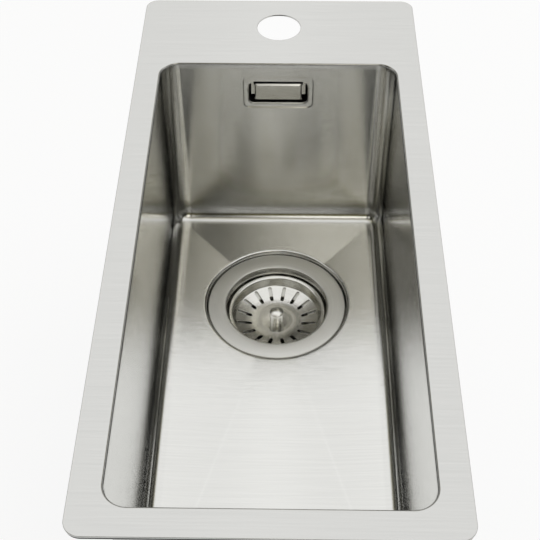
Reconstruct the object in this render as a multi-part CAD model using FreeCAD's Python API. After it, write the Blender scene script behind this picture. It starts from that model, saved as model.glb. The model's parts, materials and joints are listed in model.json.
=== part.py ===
"""Single bowl inset kitchen sink with a basket strainer, an overflow and rim clamps.

Millimetres, +Z up. The origin is the centre of the rim's outline on the plane where the rim seal
meets the worktop. +Y points to the rear ledge with the tap hole.
"""
import FreeCAD
import Part
import math
import os

# Rim and deck
rim_width = 220.0
rim_length = 500.0
rim_corner = 10.0
deck_sheet = 1.2
roll_radius = 2.2
lip_drop = 4.0
side_margin = 19.0
front_margin = 19.0
rear_ledge = 87.0
tap_hole_radius = 17.5
tap_hole_inset = 38.0
seal_thickness = 2.0
seal_width = 6.0
seal_inset = 0.5

# Bowl
bowl_sheet = 1.0
bowl_depth = 165.0
bowl_corner = 14.0
floor_bend = 12.0
floor_fall = 5.6
drain_from_rear = 100.0
drain_hole_radius = 45.0
recess_depth = 7.4
recess_flare = 0.8

# Overflow in the rear wall
overflow_drop = 29.7
overflow_recess_width = 55.2
overflow_recess_height = 29.7
overflow_recess_depth = 0.8
overflow_recess_rise = 1.4
overflow_recess_corner = 4.0
overflow_recess_draft = 0.5
overflow_width = 46.4
overflow_height = 19.4
overflow_corner = 4.0
overflow_lip_radius = 1.6
overflow_lip_turn = 1.0
cover_width = 37.6
cover_height = 15.7
cover_setback = 1.0
cover_thickness = 1.8
cover_bevel = 1.2
cover_boss_radius = 3.5
cover_screw_radius = 1.5
cover_screw_head_radius = 3.0
cover_screw_head_height = 2.0
bridge_width = 43.2
bridge_height = 14.2
bridge_rise = 4.4
bridge_tab_height = 4.1
bridge_thickness = 1.5
bridge_bearing = 4.0
overflow_gasket_thickness = 2.0
housing_wall = 2.5
housing_flange = 3.0
housing_round = 3.0
ear_reach = 11.0
ear_height = 12.0
overflow_stud_radius = 2.0
overflow_nut_flats = 7.0
overflow_nut_height = 3.2

# Overflow pipe and its compression joints
pipe_radius = 9.0
pipe_wall = 1.5
pipe_bend = 32.0
pipe_insertion = 12.0
spigot_wall = 2.0
spigot_length = 14.0
pipe_nut_wall = 2.5
pipe_nut_grip = 10.0
pipe_nut_shoulder = 3.5
pipe_seal_length = 4.5
nut_flutes = 12
nut_flute_radius = 1.2
spigot_setback = 0.3

# Strainer cup, seated in the drain recess
cup_sheet = 0.9
flange_radius = 57.0
flange_gap = 0.6
flange_edge_drop = 1.8
flange_edge_radius = 1.2
throat_radius = 41.4
throat_roll = 2.0
shoulder_clearance = 1.8
shoulder_radius = 26.0
cup_depth = 34.0
cup_floor_radius = 24.0
dimple_radius = 9.6
dimple_draft = 1.4
dimple_depth = 8.0
outlet_hole_radius = 3.4
outlet_hole_circle = 14.2
outlet_hole_count = 8
cup_gasket_thickness = 1.5
gasket_margin = 1.0
gasket_width = 9.5

# Waste body under the bowl
waste_gasket_thickness = 2.0
waste_wall = 3.0
waste_collar_thickness = 4.0
waste_well_depth = 38.5
funnel_depth = 18.0
outlet_radius = 23.9
outlet_bore = 20.0
outlet_length = 30.0
branch_depth = 24.0
branch_length = 20.0
boss_radius = 9.5
boss_gap = 1.1
rib_thickness = 3.0
rib_count = 3
insert_radius = 6.0
insert_length = 10.0
insert_cover = 2.0

# Fixing screw
screw_radius = 3.0
screw_head_radius = 7.0
screw_head_height = 5.5
socket_depth = 5.0

# Basket, its stem and stopper
basket_sheet = 0.8
basket_rim_depth = 7.5
basket_rim_radius = 40.2
basket_rim_width = 3.6
basket_rim_dish = 1.0
basket_rim_edge = 1.5
basket_wall_foot_radius = 34.6
basket_step_depth = 15.0
basket_slope_radius = 20.5
basket_floor_depth = 20.0
slot_count = 16
slot_width = 3.0
slot_inner_radius = 21.0
slot_outer_radius = 33.4
knob_base_radius = 5.3
knob_waist_radius = 5.0
knob_head_radius = 5.95
knob_height = 12.0
knob_dome = 1.7
knob_thread_depth = 6.0
stem_thread_radius = 2.0
stem_collar_radius = 5.0
stem_radius = 3.0
stem_end_gap = 0.5
stopper_radius = 20.0
stopper_thickness = 2.0
stopper_washer_radius = 14.0
stopper_washer_thickness = 1.0
stem_clip_radius = 5.2
stem_clip_thickness = 1.0

# Sound pads
pad_thickness = 3.0
pad_corner = 8.0
side_pad_length = 200.0
wall_pad_height = 65.0
front_pad_width = 110.0
floor_pad_width = 110.0
floor_pad_length = 130.0
pad_clear_of_floor = 22.0
floor_pad_from_front = 40.0

# Rim clamps
stud_radius = 2.5
stud_length = 60.0
stud_from_end = 100.0
claw_width = 10.0
claw_wall_gap = 1.0
claw_reach = 32.0
claw_sheet = 2.0
claw_tooth = 6.0
claw_bend = 2.5
clamp_washer_radius = 4.6
clamp_washer_thickness = 1.0
clamp_nut_flats = 8.0
clamp_nut_height = 4.0
clamp_end_margin = 2.0

# Clearances
running_gap = 0.07
thread_gap = 0.05
press_gap = 0.02
hole_gap = 0.2
lay_gap = 0.02
passing = 20.0

# Levels and places worked out from the sizes above
deck_under = seal_thickness
deck_top = deck_under + deck_sheet
lip_end = deck_under - lip_drop
floor_level = deck_top - bowl_depth
bowl_half_width = rim_width / 2 - side_margin
bowl_front = -rim_length / 2 + front_margin
bowl_rear = rim_length / 2 - rear_ledge
bend_radius = min(floor_bend, bowl_corner - 0.5)
drain_y = bowl_rear - drain_from_rear
tap_y = rim_length / 2 - tap_hole_inset
recess_radius = flange_radius + flange_gap
recess_level = floor_level - recess_depth
flange_level = recess_level + cup_gasket_thickness + cup_sheet
overflow_z = deck_top - overflow_drop
panel_front = bowl_rear + overflow_recess_depth
panel_back = panel_front + bowl_sheet
housing_face = panel_back + overflow_gasket_thickness
bridge_low = overflow_z + bridge_rise - bridge_height / 2
bridge_top = bridge_low + bridge_height
spigot_bore = pipe_radius + hole_gap
spigot_radius = spigot_bore + spigot_wall
nut_bore = spigot_radius + hole_gap
nut_radius = nut_bore + pipe_nut_wall
pipe_y = housing_face + spigot_setback + spigot_radius
housing_back = pipe_y + spigot_radius + spigot_setback
housing_half_width = overflow_width / 2 + housing_wall
housing_top = overflow_z + overflow_height / 2 + housing_wall
housing_bottom = overflow_z - overflow_height / 2 - housing_wall
spigot_end = housing_bottom - spigot_length
waste_inner_radius = drain_hole_radius + hole_gap
waste_outer_radius = waste_inner_radius + waste_wall
collar_level = recess_level - bowl_sheet - waste_gasket_thickness
gasket_inner = drain_hole_radius + gasket_margin
branch_z = flange_level - branch_depth
branch_end = drain_y + waste_outer_radius + branch_length
basket_fall = (basket_floor_depth - basket_step_depth) / (basket_wall_foot_radius - basket_slope_radius)
shoulder_start = basket_step_depth + basket_sheet + shoulder_clearance
cup_wall_depth = shoulder_start + basket_fall * (basket_wall_foot_radius - throat_radius)
shoulder_depth = shoulder_start + basket_fall * (basket_wall_foot_radius - shoulder_radius)
stud_x = bowl_half_width + bowl_sheet + claw_wall_gap + claw_width / 2
stud_y = rim_length / 2 - stud_from_end
stud_end = deck_under - stud_length
clamp_nut_level = stud_end + clamp_end_margin
clamp_washer_level = clamp_nut_level + clamp_nut_height
claw_level = clamp_washer_level + clamp_washer_thickness
up = FreeCAD.Vector(0, 0, 1)


def place(shape, x=0.0, y=0.0, z=0.0):
    """Move a shape from its own zero to a place in the sink's frame."""
    moved = shape.copy()
    moved.translate(FreeCAD.Vector(x, y, z))
    return moved


def cylinder(radius, z_low, z_high, x=0.0, y=0.0):
    return Part.makeCylinder(radius, z_high - z_low, FreeCAD.Vector(x, y, z_low), up)


def block(x_low, x_high, y_low, y_high, z_low, z_high):
    corner = FreeCAD.Vector(x_low, y_low, z_low)
    return Part.makeBox(x_high - x_low, y_high - y_low, z_high - z_low, corner)


def ring(inner, outer, z_low, z_high):
    return cylinder(outer, z_low, z_high).cut(cylinder(inner, z_low - 1, z_high + 1))


def rounded_wire(a_low, a_high, b_low, b_high, radius, to_point):
    """A rectangle with round corners; to_point turns its two coordinates into a point in space."""
    r = min(radius, (a_high - a_low) / 2 - 0.01, (b_high - b_low) / 2 - 0.01)
    k = r * (1 - math.sqrt(0.5))
    corners = [
        ((a_high - r, b_low), (a_high - k, b_low + k), (a_high, b_low + r)),
        ((a_high, b_high - r), (a_high - k, b_high - k), (a_high - r, b_high)),
        ((a_low + r, b_high), (a_low + k, b_high - k), (a_low, b_high - r)),
        ((a_low, b_low + r), (a_low + k, b_low + k), (a_low + r, b_low)),
    ]
    edges = []
    for index, (start, middle, end) in enumerate(corners):
        edges.append(Part.Arc(to_point(*start), to_point(*middle), to_point(*end)).toShape())
        following = corners[(index + 1) % len(corners)][0]
        edges.append(Part.makeLine(to_point(*end), to_point(*following)))
    return Part.Wire(edges)


def level_wire(x_low, x_high, y_low, y_high, radius, z):
    return rounded_wire(x_low, x_high, y_low, y_high, radius, lambda x, y: FreeCAD.Vector(x, y, z))


def wall_wire(width, height, radius, y, rise=0.0):
    """A round-cornered rectangle on a plane parallel to the rear wall, about the overflow's centre."""
    middle = overflow_z + rise
    return rounded_wire(-width / 2, width / 2, middle - height / 2, middle + height / 2,
                        radius, lambda x, z: FreeCAD.Vector(x, y, z))


def plate(x_low, x_high, y_low, y_high, radius, z_low, z_high):
    outline = level_wire(x_low, x_high, y_low, y_high, radius, z_low)
    return Part.Face(outline).extrude(FreeCAD.Vector(0, 0, z_high - z_low))


def wall_plate(width, height, radius, y_low, y_high):
    outline = wall_wire(width, height, radius, y_low)
    return Part.Face(outline).extrude(FreeCAD.Vector(0, y_high - y_low, 0))


def turned(points):
    """A solid of revolution about Z from a closed outline of (radius, height) points."""
    corners = [FreeCAD.Vector(r, 0, z) for r, z in points]
    outline = Part.makePolygon(corners + corners[:1])
    return Part.Face(outline).revolve(FreeCAD.Vector(0, 0, 0), up, 360)


def offset_corner(before, point, after, distance):
    """The corner of a path's parallel at a distance to its left."""
    first = (point - before).normalize()
    second = (after - point).normalize()
    bisector = FreeCAD.Vector(-first.z - second.z, 0, first.x + second.x)
    normal = FreeCAD.Vector(-first.z, 0, first.x)
    return point + bisector * (distance / bisector.dot(normal))


def rounded_path(points, radii):
    """Edges of a path whose inner corners are rounded to the given radii."""
    edges = []
    start = points[0]
    for before, corner, after, radius in zip(points, points[1:], points[2:], radii):
        back = (before - corner).normalize()
        forth = (after - corner).normalize()
        half = back.getAngle(forth) / 2
        reach = radius / math.tan(half)
        bisector = (back + forth).normalize()
        centre = corner + bisector * (radius / math.sin(half))
        arc_start = corner + back * reach
        arc_end = corner + forth * reach
        edges.append(Part.makeLine(start, arc_start))
        edges.append(Part.Arc(arc_start, centre - bisector * radius, arc_end).toShape())
        start = arc_end
    edges.append(Part.makeLine(start, points[-1]))
    return edges


def spun_sheet(path, radii, sheet):
    """A spun or pressed sheet: a (radius, height) path with bends, thickened to its left."""
    points = [FreeCAD.Vector(r, 0, z) for r, z in path]
    first = points[1] - points[0]
    last = points[-1] - points[-2]
    left_of_first = FreeCAD.Vector(-first.z, 0, first.x).normalize()
    left_of_last = FreeCAD.Vector(-last.z, 0, last.x).normalize()
    other = [points[0] + left_of_first * sheet]
    near_radii = []
    far_radii = []
    for before, corner, after, radius in zip(points, points[1:], points[2:], radii):
        other.append(offset_corner(before, corner, after, sheet))
        ahead = after - corner
        behind = corner - before
        turns_left = behind.x * ahead.z - behind.z * ahead.x > 0
        near_radii.append(max(radius, sheet + 0.2) if turns_left else radius)
        far_radii.append(near_radii[-1] - sheet if turns_left else radius + sheet)
    other.append(points[-1] + left_of_last * sheet)
    near = rounded_path(points, near_radii)
    far = rounded_path(other[::-1], far_radii[::-1])
    closing = [Part.makeLine(points[-1], other[-1]), Part.makeLine(other[0], points[0])]
    outline = Part.Wire(near + closing[:1] + far + closing[1:])
    return Part.Face(outline).revolve(FreeCAD.Vector(0, 0, 0), up, 360)


def hexagon(flats, z_low, z_high):
    """A hexagonal nut blank about Z, chamfered at both ends."""
    radius = flats / math.sqrt(3)
    cut_back = (radius - flats / 2) * math.tan(math.radians(30))
    rounds = turned([(0, z_low), (flats / 2, z_low), (radius, z_low + cut_back), (radius, z_high - cut_back),
                     (flats / 2, z_high), (0, z_high)])
    corners = [FreeCAD.Vector(radius * math.cos(math.radians(60 * i)),
                              radius * math.sin(math.radians(60 * i)), z_low) for i in range(7)]
    prism = Part.Face(Part.makePolygon(corners)).extrude(FreeCAD.Vector(0, 0, z_high - z_low))
    return prism.common(rounds)


def around(shape, count, first_angle=0.0):
    """Copies of a shape, evenly spaced about Z."""
    copies = []
    for index in range(count):
        turned_copy = shape.copy()
        turned_copy.rotate(FreeCAD.Vector(0, 0, 0), up, first_angle + 360.0 * index / count)
        copies.append(turned_copy)
    return copies


def at_drain(shape):
    """Put a shape that was drawn about Z, with the flange's top at zero, into the drain."""
    return place(shape, 0, drain_y, flange_level)


def bowl_form(offset):
    """The bowl as a solid block, its faces a distance outside the inner face of the sheet."""
    half_width = bowl_half_width + offset
    bottom = floor_level - offset
    tub = plate(-half_width, half_width, bowl_front - offset, bowl_rear + offset,
                bowl_corner + offset, bottom, lip_end)
    foot = [edge for edge in tub.Edges if edge.BoundBox.ZMax < bottom + 1e-6]
    tub = tub.makeFillet(bend_radius + offset, foot)
    tub = tub.fuse(floor_folds(bottom))
    recess_top = recess_level - offset + recess_depth
    recess = Part.makeCone(recess_radius + offset, recess_radius + offset + recess_flare, recess_depth,
                           FreeCAD.Vector(0, drain_y, recess_level - offset), up)
    tub = tub.fuse(recess.fuse(cylinder(recess_radius + offset, recess_top - 1, recess_top, 0, drain_y)))
    return tub.fuse(overflow_pressing(offset)).removeSplitter()


def floor_folds(level):
    """Four flat folds that fall from the wall bends to the drain."""
    x = bowl_half_width - bend_radius
    front = bowl_front + bend_radius
    rear = bowl_rear - bend_radius
    apex = FreeCAD.Vector(0, drain_y, level - floor_fall)
    top = [FreeCAD.Vector(-x, front, level), FreeCAD.Vector(x, front, level),
           FreeCAD.Vector(x, rear, level), FreeCAD.Vector(-x, rear, level)]
    faces = [Part.Face(Part.makePolygon(top + top[:1]))]
    for index, corner in enumerate(top):
        following = top[(index + 1) % len(top)]
        faces.append(Part.Face(Part.makePolygon([corner, following, apex, corner])))
    return Part.makeSolid(Part.makeShell(faces))


def overflow_pressing(offset):
    """The shallow recess pressed into the rear wall round the overflow, with drafted sides."""
    mouth_y = bowl_rear - 1.0
    bottom_y = panel_front + offset
    grow = 2 * (overflow_recess_draft + offset)
    mouth = wall_wire(overflow_recess_width + grow, overflow_recess_height + grow,
                      overflow_recess_corner + offset, mouth_y, overflow_recess_rise)
    bottom = wall_wire(overflow_recess_width + 2 * offset, overflow_recess_height + 2 * offset,
                       overflow_recess_corner + offset, bottom_y, overflow_recess_rise)
    return Part.makeLoft([mouth, bottom], True, True)


def bowl_shell():
    shell = bowl_form(bowl_sheet).cut(bowl_form(0.0))
    shell = shell.cut(cylinder(drain_hole_radius, recess_level - passing, recess_level + 1, 0, drain_y))
    slot = wall_plate(overflow_width, overflow_height, overflow_corner,
                      bowl_rear - passing, panel_back + passing)
    edge = wall_plate(overflow_width + 2 * bowl_sheet, overflow_height + 2 * bowl_sheet,
                      overflow_corner + bowl_sheet, panel_front, panel_back + overflow_lip_turn)
    shell = shell.fuse(edge).removeSplitter().cut(slot)
    half_width = overflow_width / 2 + 0.1
    half_height = overflow_height / 2 + 0.1
    brink = FreeCAD.BoundBox(-half_width, panel_front - 0.1, overflow_z - half_height,
                             half_width, panel_front + 0.1, overflow_z + half_height)
    lip = [e for e in shell.Edges if brink.isInside(e.BoundBox)]
    return shell.makeFillet(min(overflow_lip_radius, bowl_sheet + overflow_lip_turn * 0.8), lip)


def deck_plate():
    deck = plate(-rim_width / 2, rim_width / 2, -rim_length / 2, rim_length / 2,
                 rim_corner, deck_under, deck_top)
    lip = plate(-bowl_half_width - deck_sheet, bowl_half_width + deck_sheet, bowl_front - deck_sheet,
                bowl_rear + deck_sheet, bowl_corner + deck_sheet, lip_end, deck_top)
    opening = plate(-bowl_half_width, bowl_half_width, bowl_front, bowl_rear,
                    bowl_corner, lip_end - 1, deck_top + 1)
    deck = deck.fuse(lip).removeSplitter().cut(opening)
    inside = FreeCAD.BoundBox(-bowl_half_width - 0.1, bowl_front - 0.1, deck_top - 0.1,
                              bowl_half_width + 0.1, bowl_rear + 0.1, deck_top + 0.1)
    edge = [e for e in deck.Edges if inside.isInside(e.BoundBox)]
    deck = deck.makeFillet(roll_radius, edge)
    return deck.cut(cylinder(tap_hole_radius, deck_under - 1, deck_top + 1, 0, tap_y))


def rim_seal():
    x = rim_width / 2 - seal_inset
    y = rim_length / 2 - seal_inset
    corner = rim_corner - seal_inset
    outside = plate(-x, x, -y, y, corner, 0, seal_thickness)
    inside = plate(-x + seal_width, x - seal_width, -y + seal_width, y - seal_width,
                   max(corner - seal_width, 1.0), -1, seal_thickness + 1)
    return outside.cut(inside)


def side_pad(side):
    """A pad on the left (-1) or right (+1) wall."""
    near = side * (bowl_half_width + bowl_sheet)
    low = floor_level + pad_clear_of_floor
    middle = (bowl_front + bowl_rear) / 2
    outline = rounded_wire(middle - side_pad_length / 2, middle + side_pad_length / 2, low,
                           low + wall_pad_height, pad_corner,
                           lambda y, z: FreeCAD.Vector(near, y, z))
    return Part.Face(outline).extrude(FreeCAD.Vector(side * pad_thickness, 0, 0))


def front_pad():
    near = bowl_front - bowl_sheet
    low = floor_level + pad_clear_of_floor
    outline = rounded_wire(-front_pad_width / 2, front_pad_width / 2, low, low + wall_pad_height,
                           pad_corner, lambda x, z: FreeCAD.Vector(x, near, z))
    return Part.Face(outline).extrude(FreeCAD.Vector(0, -pad_thickness, 0))


def floor_pad():
    """A pad that follows the folds of the floor's underside."""
    front = bowl_front + floor_pad_from_front
    column = plate(-floor_pad_width / 2, floor_pad_width / 2, front, front + floor_pad_length,
                   pad_corner, floor_level - passing, floor_level)
    underside = floor_level - bowl_sheet
    folds = block(-floor_pad_width, floor_pad_width, bowl_front, bowl_rear, underside, floor_level + 1)
    folds = folds.fuse(floor_folds(underside))
    lowered = place(folds, 0, 0, -pad_thickness)
    return column.common(lowered).cut(folds)


def strainer_cup():
    path = [(flange_radius, -flange_edge_drop), (flange_radius, 0), (throat_radius, 0),
            (throat_radius, -cup_wall_depth), (shoulder_radius, -shoulder_depth),
            (cup_floor_radius, -cup_depth), (dimple_radius, -cup_depth),
            (dimple_radius - dimple_draft, -cup_depth - dimple_depth),
            (screw_radius + hole_gap, -cup_depth - dimple_depth)]
    bends = [flange_edge_radius, throat_roll, 3.0, 2.0, 3.0, 1.2, 1.0]
    cup = spun_sheet(path, bends, cup_sheet)
    hole = cylinder(outlet_hole_radius, -cup_depth - 2, -cup_depth + 2, outlet_hole_circle)
    return at_drain(cup.cut(Part.makeCompound(around(hole, outlet_hole_count))))


def drain_gasket(z_low, thickness):
    return place(ring(gasket_inner, gasket_inner + gasket_width, 0, thickness), 0, drain_y, z_low)


def waste_body():
    """A moulded well with a collar, an overflow branch, a ribbed boss and a threaded outlet."""
    top = collar_level
    well = top - waste_well_depth
    neck = well - funnel_depth
    end = neck - outlet_length
    collar_radius = gasket_inner + gasket_width + gasket_margin
    under = top - waste_collar_thickness
    outside = turned([(0, top), (collar_radius, top), (collar_radius, under),
                      (waste_outer_radius, under), (waste_outer_radius, well),
                      (outlet_radius, neck - waste_wall), (outlet_radius, end), (0, end)])
    inside = turned([(0, top + 1), (waste_inner_radius, top + 1), (waste_inner_radius, well),
                     (outlet_bore, neck), (outlet_bore, end - 1), (0, end - 1)])
    along = FreeCAD.Vector(0, 1, 0)
    branch_root = FreeCAD.Vector(0, waste_inner_radius - pipe_radius, branch_z)
    branch_run = branch_end - drain_y - branch_root.y
    outside = outside.fuse(Part.makeCylinder(spigot_radius, branch_run, branch_root, along))
    body = outside.cut(inside).cut(inner_branch(along))
    boss_top = flange_level - cup_depth - dimple_depth - cup_sheet - boss_gap
    boss_low = boss_top - insert_length - 2 * insert_cover
    rib = block(0, waste_outer_radius, -rib_thickness / 2, rib_thickness / 2,
                boss_low, boss_top - insert_cover)
    spider = cylinder(boss_radius, boss_low, boss_top)
    spider = spider.fuse(around(rib, rib_count, 30.0)).common(inside.fuse(outside))
    body = body.fuse(spider)
    body = body.cut(cylinder(screw_radius + hole_gap, boss_low - 1, boss_top + 1))
    body = body.cut(cylinder(insert_radius, boss_low + insert_cover, boss_top - insert_cover))
    return place(body.removeSplitter(), 0, drain_y)


def inner_branch(along):
    """The branch's bore into the well and its wider socket for the pipe."""
    bore_start = FreeCAD.Vector(0, waste_inner_radius - pipe_radius, branch_z)
    run = branch_end - drain_y - bore_start.y
    bore = Part.makeCylinder(pipe_radius - pipe_wall, run + 1, bore_start, along)
    socket_start = FreeCAD.Vector(0, branch_end - drain_y - pipe_insertion - 1, branch_z)
    return bore.fuse(Part.makeCylinder(spigot_bore, pipe_insertion + 2, socket_start, along))


def fixing_screw():
    seat = -cup_depth - dimple_depth
    tip = seat - cup_sheet - boss_gap - insert_length - 2 * insert_cover
    head = cylinder(screw_head_radius, seat, seat + screw_head_height)
    socket = cylinder(stem_radius + running_gap, seat + screw_head_height - socket_depth,
                      seat + screw_head_height + 1)
    return at_drain(head.fuse(cylinder(screw_radius, tip, seat)).cut(socket))


def insert_nut():
    top = -cup_depth - dimple_depth - cup_sheet - boss_gap - insert_cover
    return at_drain(ring(screw_radius + thread_gap, insert_radius, top - insert_length, top))


def strainer_basket():
    inner_rim = basket_rim_radius - basket_rim_width
    path = [(basket_rim_radius, -basket_rim_depth - basket_rim_edge), (basket_rim_radius, -basket_rim_depth),
            (inner_rim, -basket_rim_depth - basket_rim_dish), (basket_wall_foot_radius, -basket_step_depth),
            (basket_slope_radius, -basket_floor_depth), (stem_thread_radius + hole_gap, -basket_floor_depth)]
    basket = spun_sheet(path, [1.0, 1.0, 1.4, 3.0], basket_sheet)
    half = slot_width / 2
    slot = plate(slot_inner_radius, slot_outer_radius, -half, half, half,
                 -basket_floor_depth - passing, -basket_step_depth + 1)
    slots = around(slot, slot_count, 180.0 / slot_count)
    return at_drain(basket.cut(Part.makeCompound(slots)))


def basket_knob():
    """A waisted knob with a domed head."""
    base = -basket_floor_depth
    top = base + knob_height
    shoulder = top - knob_dome
    dome_radius = (knob_head_radius ** 2 + knob_dome ** 2) / (2 * knob_dome)
    half_angle = math.asin(min(1.0, knob_head_radius / dome_radius)) / 2
    foot = FreeCAD.Vector(knob_base_radius, 0, base)
    waist = FreeCAD.Vector(knob_waist_radius, 0, base + knob_height * 0.35)
    brim = FreeCAD.Vector(knob_head_radius, 0, shoulder)
    bulge = FreeCAD.Vector(dome_radius * math.sin(half_angle), 0,
                           top - dome_radius * (1 - math.cos(half_angle)))
    crown = FreeCAD.Vector(0, 0, top)
    centre = FreeCAD.Vector(0, 0, base)
    outline = Part.Wire([Part.makeLine(centre, foot), Part.Arc(foot, waist, brim).toShape(),
                         Part.Arc(brim, bulge, crown).toShape(), Part.makeLine(crown, centre)])
    knob = Part.Face(outline).revolve(FreeCAD.Vector(0, 0, 0), up, 360)
    bore = cylinder(stem_thread_radius + thread_gap, base - 1, base + knob_thread_depth)
    return at_drain(knob.cut(bore))


def stopper_levels():
    """Heights of the stopper's pieces under the flange's top, from the cup's floor upwards."""
    seal_low = -cup_depth + lay_gap
    washer_low = seal_low + stopper_thickness
    collar_low = washer_low + stopper_washer_thickness
    return seal_low, washer_low, collar_low


def basket_stem():
    collar_low = stopper_levels()[2]
    collar_top = -basket_floor_depth - basket_sheet
    thread_top = -basket_floor_depth + knob_thread_depth
    tip = -cup_depth - dimple_depth + screw_head_height - socket_depth + stem_end_gap
    stem = cylinder(stem_collar_radius, collar_low, collar_top)
    stem = stem.fuse(cylinder(stem_thread_radius, collar_top, thread_top))
    return at_drain(stem.fuse(cylinder(stem_radius, tip, collar_low)))


def stopper_washer():
    low = stopper_levels()[1]
    return at_drain(ring(stem_radius + press_gap, stopper_washer_radius, low, low + stopper_washer_thickness))


def stopper_seal():
    low = stopper_levels()[0]
    return at_drain(ring(stem_radius + press_gap, stopper_radius, low, low + stopper_thickness))


def stem_clip():
    top = stopper_levels()[0]
    return at_drain(ring(stem_radius + press_gap, stem_clip_radius, top - stem_clip_thickness, top))


def overflow_cover():
    """A plate with bevelled front edges and a threaded boss behind it."""
    face = panel_front + cover_setback
    back = face + cover_thickness
    front_edge = wall_wire(cover_width - 2 * cover_bevel, cover_height - 2 * cover_bevel, 1.0, face)
    waist = wall_wire(cover_width, cover_height, 1.0, face + cover_bevel)
    bevel = Part.makeLoft([front_edge, waist], True, True)
    body = wall_plate(cover_width, cover_height, 1.0, face + cover_bevel, back)
    centre = FreeCAD.Vector(0, face + cover_bevel, overflow_z)
    along = FreeCAD.Vector(0, 1, 0)
    boss = Part.makeCylinder(cover_boss_radius, housing_face - centre.y, centre, along)
    hole = Part.makeCylinder(cover_screw_radius + thread_gap, passing, centre, along)
    return body.fuse([bevel, boss]).removeSplitter().cut(hole)


def overflow_bridge():
    """A plate behind the slot, with two tabs at its top that the housing holds against the wall."""
    half = overflow_width / 2 + bridge_bearing
    bar = block(-bridge_width / 2, bridge_width / 2, housing_face, housing_face + bridge_thickness,
                bridge_low, bridge_top)
    bar = bar.fuse(block(-half, half, housing_face, housing_face + bridge_thickness,
                         bridge_top - bridge_tab_height, bridge_top)).removeSplitter()
    hole = Part.makeCylinder(cover_screw_radius + hole_gap, passing,
                             FreeCAD.Vector(0, housing_face - 1, overflow_z), FreeCAD.Vector(0, 1, 0))
    return bar.cut(hole)


def overflow_screw():
    along = FreeCAD.Vector(0, 1, 0)
    head_y = housing_face + bridge_thickness
    tip_y = panel_front + cover_setback + cover_bevel + 0.2
    shank = Part.makeCylinder(cover_screw_radius, head_y - tip_y, FreeCAD.Vector(0, tip_y, overflow_z), along)
    head = Part.makeCylinder(cover_screw_head_radius, cover_screw_head_height,
                             FreeCAD.Vector(0, head_y, overflow_z), along)
    return shank.fuse(head)


def overflow_gasket():
    sheet = wall_plate(overflow_recess_width, overflow_recess_height, overflow_recess_corner,
                       panel_back, housing_face)
    clear = bowl_sheet + hole_gap
    slot = wall_plate(overflow_width + 2 * clear, overflow_height + 2 * clear, overflow_corner + clear,
                      panel_back - 1, housing_face + 1)
    return sheet.cut(slot)


def ear_x():
    """Distance of the housing's two studs from the middle of the overflow."""
    return overflow_recess_width / 2 + ear_reach / 2


def overflow_housing():
    """A moulded box behind the wall with a flange, two ears and a spigot for the pipe."""
    flange = wall_plate(overflow_recess_width, overflow_recess_height, overflow_recess_corner,
                        housing_face, housing_face + housing_flange)
    ears = wall_plate(overflow_recess_width + 2 * ear_reach, ear_height, ear_height / 2 - 0.5,
                      housing_face, housing_face + housing_flange)
    half = housing_half_width
    box = rounded_box(half, housing_bottom, housing_top, housing_face, housing_back)
    back = [e for e in box.Edges if e.BoundBox.YMin > housing_back - 1e-6]
    box = box.makeFillet(min(housing_round, overflow_corner * 0.9), back)
    cavity = rounded_box(half - housing_wall, housing_bottom + housing_wall, housing_top - housing_wall,
                         housing_face - 1, housing_back - housing_wall)
    spigot = cylinder(spigot_radius, spigot_end, housing_bottom + housing_wall, 0, pipe_y)
    body = flange.fuse([ears, box, spigot]).removeSplitter().cut(cavity)
    bore = cylinder(pipe_radius - pipe_wall, spigot_end - 1, overflow_z, 0, pipe_y)
    socket = cylinder(spigot_bore, spigot_end - 1, spigot_end + pipe_insertion + 1, 0, pipe_y)
    notch_half = overflow_width / 2 + bridge_bearing
    notch = block(-notch_half, notch_half, housing_face - 1, housing_face + bridge_thickness,
                  bridge_top - bridge_tab_height, bridge_top)
    body = body.cut(bore).cut(socket).cut(notch)
    for x in (-ear_x(), ear_x()):
        hole = Part.makeCylinder(overflow_stud_radius + hole_gap, passing,
                                 FreeCAD.Vector(x, housing_face - 1, overflow_z), FreeCAD.Vector(0, 1, 0))
        body = body.cut(hole)
    return body


def rounded_box(half_width, z_low, z_high, y_low, y_high):
    outline = rounded_wire(-half_width, half_width, z_low, z_high, overflow_corner,
                           lambda x, z: FreeCAD.Vector(x, y_low, z))
    return Part.Face(outline).extrude(FreeCAD.Vector(0, y_high - y_low, 0))


def overflow_studs():
    """Two studs welded to the back of the rear wall."""
    start = bowl_rear + bowl_sheet
    length = housing_face + housing_flange + 2 * overflow_nut_height - start
    studs = [Part.makeCylinder(overflow_stud_radius, length, FreeCAD.Vector(x, start, overflow_z),
                               FreeCAD.Vector(0, 1, 0)) for x in (-ear_x(), ear_x())]
    return Part.makeCompound(studs)


def overflow_nuts():
    nut = hexagon(overflow_nut_flats, 0, overflow_nut_height)
    nut = nut.cut(cylinder(overflow_stud_radius + thread_gap, -1, overflow_nut_height + 1))
    nut.rotate(FreeCAD.Vector(0, 0, 0), FreeCAD.Vector(1, 0, 0), -90)
    seat = housing_face + housing_flange
    return Part.makeCompound([place(nut, x, seat, overflow_z) for x in (-ear_x(), ear_x())])


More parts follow.
